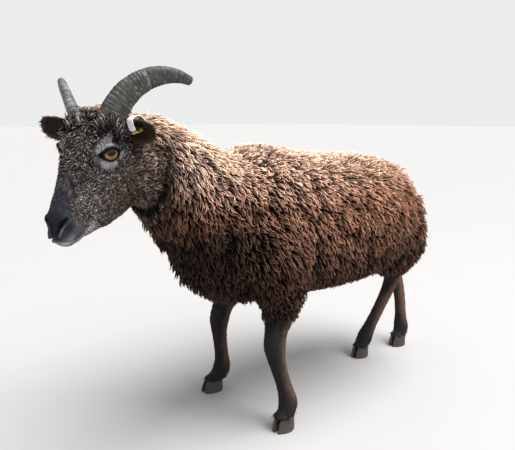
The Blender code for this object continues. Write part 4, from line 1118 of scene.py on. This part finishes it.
bushy *= 1 - 0.75 * nose_top
clear &= rng.random(len(roots)) < 0.30 + 0.70 * bushy
keeps = np.flatnonzero(clear)
keeps = keeps[thinned(roots[keeps], TUFT_SPACING * (1.0 - 0.12 * (1 - curly[keeps])))]
roots, ups, places = roots[keeps], ups[keeps], places[keeps]
curly, poll, bushy, calm = curly[keeps], poll[keeps], bushy[keeps], 1 - by_eye[keeps]
by_horn = by_horn[keeps]
jaw = smooth_step(-places[:, 2], -0.085, 0.0) * (1 - curly)
lie = np.tile(-np.array(MUZZLE), (len(roots), 1)) - 0.45 * np.array(CROWN)
outward = np.array(MUZZLE) * 0.8 + np.sign(places[:, :1]) * np.array(SIDE) * 0.5
lie = np.where(curly[:, None] > 0.5, outward, lie)
lie = np.where(poll[:, None] > 0.4, np.array(CROWN) * 0.9 - np.array(MUZZLE) * 0.5, lie)
lie = unit(square_to(lie + 0.7 * swirled(roots, 0.012), ups))
throat = smooth_step(-places[:, 2], -0.060, -0.010) * smooth_step(-places[:, 1], 0.050, 0.090)
sizes = 0.0030 + 0.0022 * curly + 0.008 * jaw + 0.0010 * bushy + 0.0032 * poll + 0.008 * throat
sizes += 0.0040 * by_horn
sizes *= rng.uniform(0.7, 1.3, len(roots)) * (1 - 0.4 * (1 - calm))
rises = 0.0004 + 0.0018 * curly + 0.0028 * jaw + 0.0010 * bushy + 0.0075 * poll + 0.0080 * throat
rises += 0.0085 * by_horn
rises *= rng.uniform(0.6, 1.2, len(roots)) * (1 - 0.75 * (1 - calm))
widths = 0.0012 + 0.0005 * curly + 0.0008 * jaw + 0.0008 * bushy + 0.0004 * poll
widths *= rng.uniform(0.8, 1.2, len(roots)) * (1 - 0.35 * (1 - calm))
unwrapped = np.stack([spread(np.arctan2(places[:, 0], places[:, 1] + 0.02)), spread(places[:, 2])], 1)
half = places[:, 2] > np.median(places[:, 2])
tufts = roots, ups, lie, sizes, rises, widths, markings(roots) * 1.1, unwrapped
flecks = smooth_step(mottle(roots, 0.0045, 9.0), -0.2, 0.5)
pale_share = (0.08 + 1.05 * flecks) * (0.15 + 0.85 * bushy) * calm * (1 - 0.45 * jaw)
for name, group in (("face_hair_fore", half), ("face_hair_back", ~half)):
    short_tufts(name, *(values[group] for values in tufts), "face_hair", 0.45, pale_share[group])

on_legs = (face_centre[:, 2] < 0.262) & (face_centre[:, 2] > 0.028)
roots, ups = seeded(skin_points, skin_normals, skin_faces[on_legs], LEG_SAMPLES, LEG_TUFT_SPACING)
lie = np.tile((0.0, 0.18, -1.0), (len(roots), 1)) + 0.25 * rng.normal(0, 1, (len(roots), 3))
lie = unit(square_to(lie, ups))
high = smooth_step(roots[:, 2], 0.19, 0.25)
feather = smooth_step(ups[:, 1], 0.2, 0.9) * smooth_step(-roots[:, 2], -0.09, -0.03)
coronet = 1 - smooth_step(roots[:, 2], 0.030, 0.042)
sizes = (0.0065 + 0.008 * high + 0.003 * feather + 0.0035 * coronet) * rng.uniform(0.75, 1.25, len(roots))
rises = (0.0006 + 0.0045 * high + 0.0012 * feather + 0.0022 * coronet) * rng.uniform(0.5, 1.3, len(roots))
widths = (0.0014 + 0.0022 * high) * rng.uniform(0.8, 1.2, len(roots))
quarter = np.where(roots[:, 1] < 0.2, 0.0, 0.5) + np.where(roots[:, 0] < 0, 0.0, 0.25)
turned = np.arctan2(ups[:, 0], ups[:, 1]) / (2 * math.pi) + 0.5
unwrapped = np.stack([quarter + 0.01 + 0.23 * turned, spread(roots[:, 2])], 1)
tufts = roots, ups, lie, sizes, rises, widths, markings(roots) * 1.1, unwrapped
short_tufts("leg_hair", *tufts, "leg_hair", 0.18)

# The eyes: a moist ball with an amber iris and a level slot of a pupil, under a clear bulging cornea.
# Thin dark rolls of bare skin edge the lids as far as the tear duct, with short lashes over the upper one.
IRIS_REACH = 0.0114
PUPIL_HALF_LENGTH = 0.0070
PUPIL_HALF_HEIGHT = 0.0024
PUPIL_HIGHER = 0.0008
CORNEA_RISE = 0.0007
RIM_THICK = 0.0018
RIM_LIFT = 0.60
LASH_COUNT = 130
LASH_REACH = 0.0075
LASH_WIDTH = 0.0005
LASH_BLACK = (0.010, 0.008, 0.008)


def store_values(mesh, **values):
    """Keeps a number at each of the mesh's points under each name, for its finish."""
    for name, numbers in values.items():
        layer = mesh.attributes.new(name, "FLOAT", "POINT")
        layer.data.foreach_set("value", numbers.astype(np.float32))


def eye_ball(sign):
    """A fine ball that bulges at the cornea, with its iris's own coordinates stored on it."""
    centre, look, level, upright = eye_frame(sign)
    bm = bmesh.new()
    bmesh.ops.create_uvsphere(bm, u_segments=64, v_segments=48, radius=EYE_RADIUS)
    mesh = bpy.data.meshes.new("eye")
    bm.to_mesh(mesh)
    bm.free()
    points = np.array([v.co for v in mesh.vertices])
    ahead = points[:, 2] / EYE_RADIUS
    points *= (1 + CORNEA_RISE / EYE_RADIUS * smooth_step(ahead, 0.62, 1.0))[:, None]
    axes = np.array([level, upright, look])
    store_values(mesh, iris_level=points[:, 0], iris_upright=points[:, 1], iris_ahead=ahead)
    mesh.vertices.foreach_set("co", (centre + points @ axes + HOME).ravel())
    if np.linalg.det(axes) < 0:
        mesh.flip_normals()
    mesh.shade_smooth()
    mesh.update()
    return mesh


def eye_finish():
    """An amber iris, dark at its edge, round a level black pupil, with the upper lid's shadow painted over
    its top.
    """
    material, place = new_finish("wet_eye", roughness=0.10, specular_ior_level=0.18)
    level, upright, ahead = (stored(place, name) for name in ("iris_level", "iris_upright", "iris_ahead"))
    reach = place.maths("POWER", level * level + upright * upright, 0.5)
    fibres = grain(place, 1500, 2.0)
    share = reach / IRIS_REACH
    stops = (
        (0.00, (0.070, 0.034, 0.016)),
        (0.45, (0.170, 0.090, 0.040)),
        (0.72, (0.400, 0.245, 0.120)),
        (0.88, (0.100, 0.050, 0.026)),
        (1.00, (0.012, 0.009, 0.008)),
    )
    iris = place.make("ShaderNodeValToRGB", {"stops": stops}, {0: share + (fibres - 0.5) * 0.14})
    across = place.maths("ABSOLUTE", level) / PUPIL_HALF_LENGTH
    height = place.maths("ABSOLUTE", upright - PUPIL_HIGHER) / PUPIL_HALF_HEIGHT
    slot = place.maths("POWER", across, 4.0) + place.maths("POWER", height, 2.6)
    # Painted shadow of the upper lid over the iris's upper part.
    shaded = upright.ramped(-0.0005, 0.0036, 0.0, 0.90)
    lit_iris = mixed(shaded, iris, (0.020, 0.012, 0.010))
    colour = mixed(slot.ramped(0.8, 1.25, 1.0, 0.0), lit_iris, (0.002, 0.002, 0.003))
    feed(material, base_color=mixed(ahead.ramped(0.55, 0.66, 1.0, 0.0), colour, (0.020, 0.014, 0.012)))
    return material


def out_of_eye(sign, along, up):
    """The ways out of an eye through places on its ball, given along the lids and up."""
    look, level, upright = eye_frame(sign)[1:]
    ahead = np.sqrt(np.maximum(EYE_RADIUS**2 - along**2 - up**2, 1e-6))
    return unit(np.stack([along, up, ahead], 1)) @ np.array([level, upright, look])


def lid_rim(sign):
    """The dark edge of the lids, a thin roll along their opening."""
    centre = eye_frame(sign)[0]
    turns = np.linspace(0, 2 * math.pi, 72, endpoint=False)
    path = centre + out_of_eye(sign, *lid_edge(turns)) * (EYE_RADIUS + LID_RAISED * RIM_LIFT)
    tangent = unit(np.roll(path, -1, 0) - np.roll(path, 1, 0))
    out = unit(square_to(unit(path - centre), tangent))
    over = np.cross(tangent, out)
    cos, sin = (side[:, None] for side in circle(10))
    size = RIM_THICK * (1 + 0.25 * np.sin(turns))[:, None, None]
    rings = path[:, None] + (out[:, None] * cos * 1.5 + over[:, None] * sin) * size
    count, sides = rings.shape[:2]
    rows = np.arange(count * sides).reshape(count, sides)
    down, beside = np.roll(rows, -1, 0), np.roll(rows, -1, 1)
    quads = np.stack([rows, beside, np.roll(down, -1, 1), down], -1).reshape(-1, 4)
    mesh = bpy.data.meshes.new("rim")
    mesh.from_pydata((rings.reshape(-1, 3) + HOME).tolist(), [], quads.tolist())
    return faced_out(mesh)


def rim_finish():
    """Bare black skin with fine creases, nearly without gloss."""
    material, place = new_finish("lid_rim", roughness=0.75, specular_ior_level=0.06)
    creases = grain(place, 800, 2.0)
    feed(material, base_color=mixed(creases, (0.003, 0.003, 0.004), (0.008, 0.007, 0.008)))
    feed(material, normal=bumped(creases, 0.3, 0.0004))
    return material


def lashes(sign, side):
    """Short dark lashes in loose rows along the upper lid, bowed out over the eye."""
    centre, look, level, upright = eye_frame(sign)
    turns = rng.uniform(math.radians(18), math.radians(165), LASH_COUNT)
    along, up = lid_edge(turns)
    off = EYE_RADIUS * rng.uniform(0.02, 0.10, LASH_COUNT) / np.hypot(along, up) + 1
    along, up = along * off, up * off
    out = out_of_eye(sign, along, up)
    roots = centre + out * (EYE_RADIUS + LID_RAISED * RIM_LIFT)
    lie = unit(look * 0.6 - upright * 0.9 + level * rng.normal(0, 0.25, (LASH_COUNT, 1)))
    reach = LASH_REACH * rng.uniform(0.6, 1.1, LASH_COUNT) * (0.55 + 0.45 * np.sin(turns))
    widths = np.full(LASH_COUNT, LASH_WIDTH)
    shades = np.tile(LASH_BLACK, (LASH_COUNT, 1))
    unwrapped = np.stack([spread(turns), spread(off)], 1)
    hairs = roots, out, lie, reach * 0.75, reach * 0.35, widths, shades, unwrapped
    short_tufts("lashes_" + side, *hairs, "face_hair", 0.1)


EYE_FINISH, RIM_FINISH = eye_finish(), rim_finish()
for side, sign in SIGNS.items():
    ball = piece("eyeball_" + side, eye_ball(sign), EYE_FINISH)
    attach(ball, "root")
    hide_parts("eye_" + side)
    rim = piece("lid_rim_" + side, lid_rim(sign), RIM_FINISH)
    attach(rim, "root")
    lashes(sign, side)

# The horns: hollow keratin sheaths on bony cores, ringed by growth ridges and paler fine lines between.
# The left one curls back over the ear. The right one is broken short, worn round and split at its end.
# Root on the head, degrees outward and of lean, radius of the curl, its arc in degrees, and taper.
HORNS = {
    "left": ((0.029, 0.047, 0.029), 38, 12, 0.092, (10, 112), 0.24),
    "right": ((-0.028, 0.047, 0.028), 34, 23, 0.085, (4, 51), 0.78),
}
HORN_FULL_ARC = math.radians(105)
HORN_CAP_RINGS = 8
HORN_THICK = 0.0105
HORN_WIDE = 0.0225
HORN_SINK = 0.009
RIDGE_SPACING = 0.0066
SPLIT_DEPTH = 0.009
SPLIT_WIDTH = 0.0016


def horn_rings(side_name, count=260, sides=48):
    """A horn's rings along its arc, with growth ridges, and how far along each ring is."""
    base, outward, lean, radius, arc, narrows = HORNS[side_name]
    sign = SIGNS[side_name]
    forward = Vector((math.sin(HEAD_TURN), -math.cos(HEAD_TURN), 0))
    side = Vector((math.cos(HEAD_TURN), math.sin(HEAD_TURN), 0)) * sign
    outward, lean = math.radians(outward), math.radians(lean)
    run = side * math.sin(outward) - forward * math.cos(outward)
    rise = Vector((0, 0, 1)) * math.cos(lean) + side * math.sin(lean)
    rise = (rise - run * rise.dot(run)).normalized()
    first, last = (math.radians(a) for a in arc)
    root = on_head(*base) - np.array(rise) * HORN_SINK
    turns = np.linspace(first, last, count)
    rise, run = np.array(rise), np.array(run)
    centres = root + (
        np.outer(np.sin(turns) - math.sin(first), rise) + np.outer(math.cos(first) - np.cos(turns), run)
    ) * radius
    along = (turns - first) / HORN_FULL_ARC
    taper = 1 - narrows * along - 0.47 * along**2.2
    far = (turns - first) * radius
    wander = np.array([noise.noise(Vector((s / 0.016, sign * 4.0, 0))) for s in far])
    wander += 0.5 * np.array([noise.noise(Vector((s / 0.006, sign * 9.0, 0))) for s in far])
    beat = far / RIDGE_SPACING + 0.75 * wander
    ridge = np.abs(np.sin(beat * math.pi)) ** 0.7
    fine = np.sin(far / 0.0013 * 2 * math.pi) * 0.05
    young = 1 - 0.55 * smooth_step(along, 0.35, 0.95)
    wear = 0.972 + (0.028 * ridge + 0.05 * fine) * young
    wide = HORN_WIDE * taper * wear
    thick = HORN_THICK * (1 - (narrows - 0.08) * along - 0.3 * along**2) * wear
    rings = sweep(centres, np.cross(rise, run), thick, wide, wide, np.full((2, count), 2.3), sides)
    whole = rounded(rings, float(wide[-1]) * 0.7, steps=HORN_CAP_RINGS)
    reach = np.concatenate([far, far[-1] + np.arange(1, HORN_CAP_RINGS + 1) * 0.001])
    groove = np.concatenate([1 - ridge, np.zeros(HORN_CAP_RINGS)])
    return whole, reach, groove


def horn_mesh(side_name):
    """A horn's sheath with a rough surface, and the rings that it is made of."""
    rings, reach, groove = horn_rings(side_name)
    count, sides = rings.shape[:2]
    middle = rings.mean(1, keepdims=True)
    noted = rings.reshape(-1, 3)
    rough = 0.00055 * mottle(noted, 0.010) + 0.00025 * mottle(noted, 0.0035)
    rings = rings + unit(rings - middle) * rough.reshape(count, sides, 1)
    mesh = tube_mesh("horn", rings)
    store_values(mesh, horn_reach=np.repeat(reach, sides), horn_groove=np.repeat(groove, sides))
    return mesh, rings


def horn_finish(name, dark, mid, line, scar, gaps):
    """Keratin with thin lines in the grooves, which break up along the ring where the noise is low.

    The scar is how far along the horn its worn end begins and is whole, and its colour there.
    """
    material, place = new_finish(name, roughness=0.52, specular_ior_level=0.3)
    reach, groove = stored(place, "horn_reach"), stored(place, "horn_groove")
    clouds = grain(place, 60, 3.0)
    patchy = grain(place, 150, 3.0)
    bent = reach + (clouds - 0.5) * 0.006
    fine_lines = place.maths("ABSOLUTE", place.maths("SINE", bent * (math.pi / 0.0021)))
    broken = patchy.ramped(*gaps)
    base = mixed(clouds.ramped(0.35, 0.65), dark, mid)
    lined = mixed(fine_lines.ramped(0.0, 0.28, 1.0, 0.0) * broken * 0.55, base, line)
    marked = mixed(groove.ramped(0.40, 0.80) * broken * 0.85, lined, line)
    feed(material, base_color=mixed(reach.ramped(*scar[:2]) * broken * 0.8, marked, scar[2]))
    feed(material, roughness=clouds * 0.25 + 0.38)
    relief = groove * -0.6 + fine_lines * 0.35 + grain(place, 900, 2.0) * 0.35
    feed(material, normal=bumped(relief, 0.55, 0.0010))
    return material


def horn_split(rings):
    """An open wedge through the thickness of a horn's end, off to one side."""
    whole = rings[:-HORN_CAP_RINGS]
    tip, ring = whole[-1].mean(0), whole[-1]
    along = unit(tip - whole[-30].mean(0))
    wide = ring[np.argmax(np.linalg.norm(ring - tip, axis=1))] - tip
    flat = np.cross(along, unit(wide)) * 0.03
    stations = []
    for reach, opening in ((-SPLIT_DEPTH, 0.0002), (SPLIT_DEPTH * 2, SPLIT_WIDTH * 1.5)):
        middle = tip + along * reach + wide * (0.30 + 0.1 * reach / SPLIT_DEPTH)
        half = unit(wide) * opening
        corners = (-1, -1), (1, -1), (1, 1), (-1, 1)
        stations.append([middle + flat * over + half * beside for over, beside in corners])
    return tube_mesh("split", np.array(stations))


HORN_FINISHES = {
    "left": horn_finish(
        "horn_dark",
        (0.016, 0.018, 0.019),
        (0.046, 0.045, 0.041),
        (0.190, 0.165, 0.125),
        (0.120, 0.165, (0.035, 0.030, 0.026)),
        (0.46, 0.60),
    ),
    "right": horn_finish(
        "horn_weathered",
        (0.066, 0.070, 0.074),
        (0.180, 0.190, 0.198),
        (0.020, 0.019, 0.019),
        (0.052, 0.068, (0.110, 0.068, 0.042)),
        (0.30, 0.44),
    ),
}
for side in HORNS:
    mesh, rings = horn_mesh(side)
    horn = piece("horn_" + side + "_sheath", mesh, HORN_FINISHES[side])
    if side == "right":
        knife = piece("split_knife", horn_split(rings))
        cut = horn.modifiers.new("split", "BOOLEAN")
        cut.operation, cut.object, cut.solver = "DIFFERENCE", knife, "EXACT"
        graph = bpy.context.evaluated_depsgraph_get()
        horn.data = bpy.data.meshes.new_from_object(horn.evaluated_get(graph))
        horn.modifiers.clear()
        bpy.data.objects.remove(knife, do_unlink=True)
        horn.data.materials.clear()
        horn.data.materials.append(HORN_FINISHES[side])
    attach(horn, "root")
    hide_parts("horn_" + side)

# The ears: thin cups of gristle covered in short dark hair, with a lighter fringe along their edges.
EAR_ROOT = (0.033, 0.006, 0.010)
EAR_TIPS = {"left": (0.089, 0.028, 0.020), "right": (-0.103, 0.024, 0.021)}
EAR_OPENING = (0.35, 0.25, 0.80)
EAR_HALF_WIDTH = 0.021
EAR_WALL = 0.0030
EAR_SAMPLES = 9000
EAR_TUFT_SPACING, EAR_TUFT_WIDTH = 0.0024, 0.0012
EAR_DARK = (0.022, 0.014, 0.011)
EAR_EDGE = (0.120, 0.078, 0.055)


def ear_frame(side_name):
    """An ear's root, its length, and its directions: outward along it, up across it, and out of its cup."""
    sign = SIGNS[side_name]
    root = on_head(sign * EAR_ROOT[0], EAR_ROOT[1], EAR_ROOT[2])
    tip = on_head(*EAR_TIPS[side_name])
    along = unit(tip - root)
    opening = head_way(sign * EAR_OPENING[0], EAR_OPENING[1], EAR_OPENING[2])
    opening = unit(opening - along * (opening @ along))
    return root, np.linalg.norm(tip - root), along, np.cross(opening, along) * sign, opening


def ear_rings(side_name, count=56, half_sides=26):
    """A cupped ear as crescents along a line from its root to its tip, and each point's place across it."""
    root, length, along, across, opening = ear_frame(side_name)
    ramp = np.sin(np.linspace(-1, 1, half_sides) * math.pi / 2)
    u = np.concatenate([ramp, ramp[::-1]])
    face = np.concatenate([np.ones(half_sides), -np.ones(half_sides)])
    rings = []
    for t in np.linspace(0, 1, count):
        half = EAR_HALF_WIDTH * (0.42 + 0.58 * math.sin(math.pi * min(t, 0.62) / 1.24))
        if t > 0.62:
            half *= math.sqrt(max(1 - ((t - 0.62) / 0.385) ** 2.4, 0.02))
        cup = half * (0.85 - 0.45 * t)
        wall = EAR_WALL * (1.25 - 0.35 * t)
        over = cup * (u * u - 0.4) + face * wall / 2 * np.sqrt(1 - 0.8 * u * u)
        rings.append(root + along * length * t + np.outer(u * half, across) + np.outer(over, opening))
    return np.array(rings), u


for side in EAR_TIPS:
    rings, u = ear_rings(side)
    mesh = tube_mesh("ear", rings)
    ear = piece("ear_" + side + "_cup", mesh, HIDE)
    ear_points, ear_normals = points_of(mesh)
    edge = smooth_step(np.abs(np.tile(u, len(rings))), 0.72, 1.0)
    out = np.repeat(np.linspace(0, 1, len(rings)), len(u))
    edge = np.maximum(edge, smooth_step(out, 0.9, 1.0))
    ear_colours = tinted(np.tile(np.array(EAR_DARK), (len(ear_points), 1)), EAR_EDGE, 0.6 * edge)
    painted(mesh, ear_colours)
    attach(ear, "root")
    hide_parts("ear_" + side)
    root, length, along, across, opening = ear_frame(side)
    roots, ups = seeded(ear_points, ear_normals, triangles_of(mesh), EAR_SAMPLES, EAR_TUFT_SPACING)
    away = (roots - root) @ across / EAR_HALF_WIDTH
    rim = smooth_step(np.abs(away), 0.55, 0.95)
    lie = along + 0.5 * np.outer(away, across) + 0.25 * rng.normal(0, 1, (len(roots), 3))
    lie = unit(square_to(lie, ups))
    colours = tinted(np.tile(np.array(EAR_DARK), (len(roots), 1)), EAR_EDGE, 0.25 + 0.6 * rim)
    sizes = (0.0050 + 0.0015 * rim) * rng.uniform(0.8, 1.2, len(roots))
    rises = (0.0007 + 0.0008 * rim) * rng.uniform(0.6, 1.3, len(roots))
    outer = (ups @ opening < 0) * 0.5
    unwrapped = np.stack([spread(away, 0.01, 0.49) + outer, spread((roots - root) @ along)], 1)
    widths = np.full(len(roots), EAR_TUFT_WIDTH)
    tufts = roots, ups, lie, sizes, rises, widths, colours, unwrapped
    short_tufts("ear_hair_" + side, *tufts, "face_hair", 0.2)

# The ear tag: a moulded white strap that loops over the left ear's edge, and a yellow stud strap in front.
# Both are smooth plastic with no lettering, held by a pin through the ear.
TAG_PLACE = 0.57
# Each strap's course: places across the ear and out of its cup.
TAG_WHITE = (
    (-0.0030, -0.0112), (0.0085, -0.0116), (0.0175, -0.0092), (0.0226, -0.0030),
    (0.0240, 0.0035), (0.0232, 0.0088), (0.0150, 0.0132), (0.0075, 0.0140),
)
TAG_YELLOW = ((0.0060, 0.0143), (0.0036, 0.0138), (0.0016, 0.0100), (0.0008, 0.0055), (0.0008, 0.0010))
TAG_TWIST = math.radians(16)
TAG_WIDTH = 0.0105
TAG_THICK = 0.0016
TAG_PIN = 0.0016
TAG_SIDES = 24


def tag_strap(name, points, twist, material):
    """A flat strap with rounded edges, bent along points beside the left ear and turned about its length."""
    root, length, along, across, opening = ear_frame("left")
    place = root + along * length * TAG_PLACE
    rows = smooth_rows(numbered(points), np.linspace(0, len(points) - 1, 12 * len(points)))
    centres = place + np.outer(rows[:, 0], across) + np.outer(rows[:, 1], opening)
    count = len(rows)
    ends = np.minimum(np.arange(count), np.arange(count)[::-1]) / 5.0
    narrow = np.sqrt(np.clip(1 - (1 - np.clip(ends, 0, 1)) ** 2 * 0.75, 0.05, 1))
    path = unit(np.gradient(centres, axis=0))
    turns = np.linspace(twist[0], twist[1], count)[:, None]
    flat = np.cross(along, path)
    wide = along * np.cos(turns) + flat * np.sin(turns)
    thick = flat * np.cos(turns) - along * np.sin(turns)
    x, z = circle(TAG_SIDES)
    x, z = np.sign(x) * np.abs(x) ** 0.22, np.sign(z) * np.abs(z) ** 0.5
    rings = (
        centres[:, None]
        + wide[:, None] * (x[None, :, None] * narrow[:, None, None] * TAG_WIDTH / 2)
        + thick[:, None] * (z[None, :, None] * TAG_THICK / 2)
    )
    return piece(name, tube_mesh(name, rings), material)


def plastic_finish(name, colour, shade):
    """Moulded plastic, a little scuffed and dirty."""
    material, place = new_finish(name, roughness=0.42)
    scuffs = grain(place, 260, 4.0, rough=0.65)
    feed(material, base_color=mixed(scuffs.ramped(0.52, 0.72, 0.0, 0.55), colour, shade))
    feed(material, roughness=scuffs * 0.4 + 0.2)
    feed(material, normal=bumped(scuffs, 0.12, 0.0003))
    return material


WHITE_PLASTIC = plastic_finish("tag_white_plastic", (0.78, 0.79, 0.82), (0.42, 0.38, 0.32))
YELLOW_PLASTIC = plastic_finish("tag_yellow_plastic", (0.50, 0.36, 0.07), (0.22, 0.14, 0.05))
white = tag_strap("tag_strap_white", TAG_WHITE, (0, TAG_TWIST), WHITE_PLASTIC)
yellow = tag_strap("tag_strap_yellow", TAG_YELLOW, (TAG_TWIST, 0), YELLOW_PLASTIC)
for tag, node, slot in ((white, "ear_tag_white", "tag_white"), (yellow, "ear_tag_yellow", "tag_yellow")):
    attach(tag, "root")
    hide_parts(node)
root, length, along, across, opening = ear_frame("left")
stud = root + along * length * TAG_PLACE + across * TAG_YELLOW[-1][0]
reaches = np.array([0.0030, 0.0022, 0.0004, 0.0, -0.0060])
radii = np.array([0.0012, 0.0030, 0.0032, TAG_PIN, TAG_PIN])
centres = stud + np.outer(TAG_YELLOW[-1][1] + reaches, opening)
rings = sweep(centres, along, radii, radii, radii, np.full((2, len(radii)), 2.0), TAG_SIDES)
pin = piece("tag_pin", tube_mesh("tag_pin", rings), YELLOW_PLASTIC)
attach(pin, "root")

# The feet: two claws of horn on each, worn and caked with mud near the ground, under a hairy coronet.
# Each foot: x, y, and degrees outward.
FEET = {
    "front_left": (0.113, 0.000, 8),
    "front_right": (-0.113, 0.004, -4),
    "hind_left": (-0.010, 0.398, 2),
    "hind_right": (0.010, 0.532, -2),
}
CLAW_WIDTH = 0.0185
CLAW_CLEFT = 0.0018
CLAW_HEIGHT = 0.027
CLAW_SOLE = 0.047
HEEL_BACK = -0.021
# Up each claw: height, its length, and how far its heel leans in, in millimetres.
CLAW_SHAPE = ((0, 1, 0), (0.4, 0.95, 0.2), (0.75, 0.87, 0.6), (1, 0.78, 1))


def claw_rings(x, y, degrees, inner, count=26, sides=36):
    """One claw of a foot, from its flat sole up to the coronet, with faint growth rings."""
    turn = math.radians(degrees)
    ahead = np.array((math.sin(turn), -math.cos(turn), 0))
    beside = np.array((math.cos(turn), math.sin(turn), 0))
    heights = np.linspace(0, 1, count)
    rings = []
    for height, (length, heel) in zip(heights, smooth_rows(CLAW_SHAPE, heights)):
        length *= 1 - 0.018 * max(0, 1 - height * 12) + 0.006 * math.sin(height * 40)
        back, front = HEEL_BACK + heel * 0.001, CLAW_SOLE * length + HEEL_BACK
        middle, reach = (front + back) / 2, (front - back) / 2
        ring = []
        for i in range(sides):
            a = i * 2 * math.pi / sides
            nose = math.sin(a)
            wide = CLAW_WIDTH * (1 - 0.06 * height) * (0.5 + 0.5 * math.cos(a))
            narrow = 1 - 0.45 * max(nose, 0) ** 2 - 0.2 * max(-nose, 0) ** 2
            offset = CLAW_CLEFT / 2 + wide * narrow
            place = beside * (offset if inner else -offset) + ahead * (middle + reach * nose)
            ring.append(np.array((x, y, height * CLAW_HEIGHT)) + place)
        rings.append(ring)
    return np.array(rings)


def claw_finish():
    """Hoof horn: brown-black with fine rings, and dried mud that thins upwards."""
    material, place = new_finish("hoof_horn", roughness=0.6)
    height = place.make("ShaderNodeSeparateXYZ", {}, {0: place}, out=2)
    rings = grain(place, 170, 3.0, (0.25, 0.25, 3.0))
    clods = grain(place, 130, 4.0, rough=0.7)
    mud = (height + (clods - 0.5) * 0.02).ramped(0.004, 0.024, 0.9, 0.0)
    horn = mixed(rings, (0.010, 0.009, 0.009), (0.034, 0.029, 0.025))
    feed(material, base_color=mixed(mud, horn, (0.048, 0.036, 0.028)))
    feed(material, roughness=mud * 0.35 + 0.5)
    feed(material, normal=bumped(rings * 0.6 + clods * mud, 0.7, 0.0012))
    return material


CLAW_FINISH = claw_finish()
for foot, (x, y, degrees) in FEET.items():
    for inner, end in ((True, "_1"), (False, "_2")):
        claw = piece("hoof_" + foot + end, tube_mesh("claw", claw_rings(x, y, degrees, inner)), CLAW_FINISH)
        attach(claw, "root")
        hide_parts("claw_" + foot + end)

# The studio: a pale floor that runs back to a pale surround, soft light from above, and the camera low
# at the sheep's left shoulder, level with its head.
CAMERA_AT = Vector((0.8693, -0.7699, 0.6)) + Vector(HOME)
CAMERA_TURN = math.radians(47.2)
FOCAL_PIXELS = 600.0
FRAME_WIDTH, HORIZON, FRAME_MIDDLE = 515.0, 115.0, 225.0
SENSOR = 36.0
FLOOR = 30.0


def studio_piece(name, data, place, way):
    """A camera or lamp at a place, turned to look or shine along a way."""
    made = bpy.data.objects.new(name, data)
    bpy.context.scene.collection.objects.link(made)
    made.location = place
    made.rotation_mode = "QUATERNION"
    made.rotation_quaternion = Vector(way).to_track_quat("-Z", "Y")
    return made


drop = math.atan((FRAME_MIDDLE - HORIZON) / FOCAL_PIXELS)
flat = math.cos(drop)
ahead = Vector((-math.sin(CAMERA_TURN) * flat, math.cos(CAMERA_TURN) * flat, -math.sin(drop)))
camera = studio_piece("camera", bpy.data.cameras.new("camera"), CAMERA_AT, ahead)
camera.data.sensor_width = SENSOR
camera.data.lens = FOCAL_PIXELS / FRAME_WIDTH * SENSOR
bpy.context.scene.camera = camera

floor_mesh = bpy.data.meshes.new("floor")
floor_corners = [(-FLOOR, -FLOOR, 0), (FLOOR, -FLOOR, 0), (FLOOR, FLOOR, 0), (-FLOOR, FLOOR, 0)]
floor_mesh.from_pydata(floor_corners, [], [(0, 1, 2, 3)])
floor_material, floor_place = new_finish("pale_floor", roughness=0.8)
dust = grain(floor_place, 6, 3.0)
feed(floor_material, base_color=mixed(dust, (0.33, 0.33, 0.33), (0.34, 0.34, 0.34)))
floor = piece("floor", floor_mesh, floor_material)

world = bpy.data.worlds.new("studio")
bpy.context.scene.world = world
world.use_nodes = True
world.node_tree.nodes["Background"].inputs[0].default_value = (0.985, 0.99, 1.0, 1)
world.node_tree.nodes["Background"].inputs[1].default_value = 0.85
bpy.context.scene.view_settings.view_transform = "Standard"
overhead = bpy.data.lights.new("overhead", "SUN")
overhead.energy, overhead.angle, overhead.color = 6.0, math.radians(50), (1.0, 0.98, 0.96)
studio_piece("overhead", overhead, (0, 0, 0), (-0.35, -0.25, -1.0))
key = bpy.data.lights.new("key", "AREA")
key.energy, key.size, key.color = 30, 1.2, (1.0, 0.98, 0.95)
studio_piece("key", key, (2.0, 0.4, 2.2), (-2.0, -0.3, -1.8))
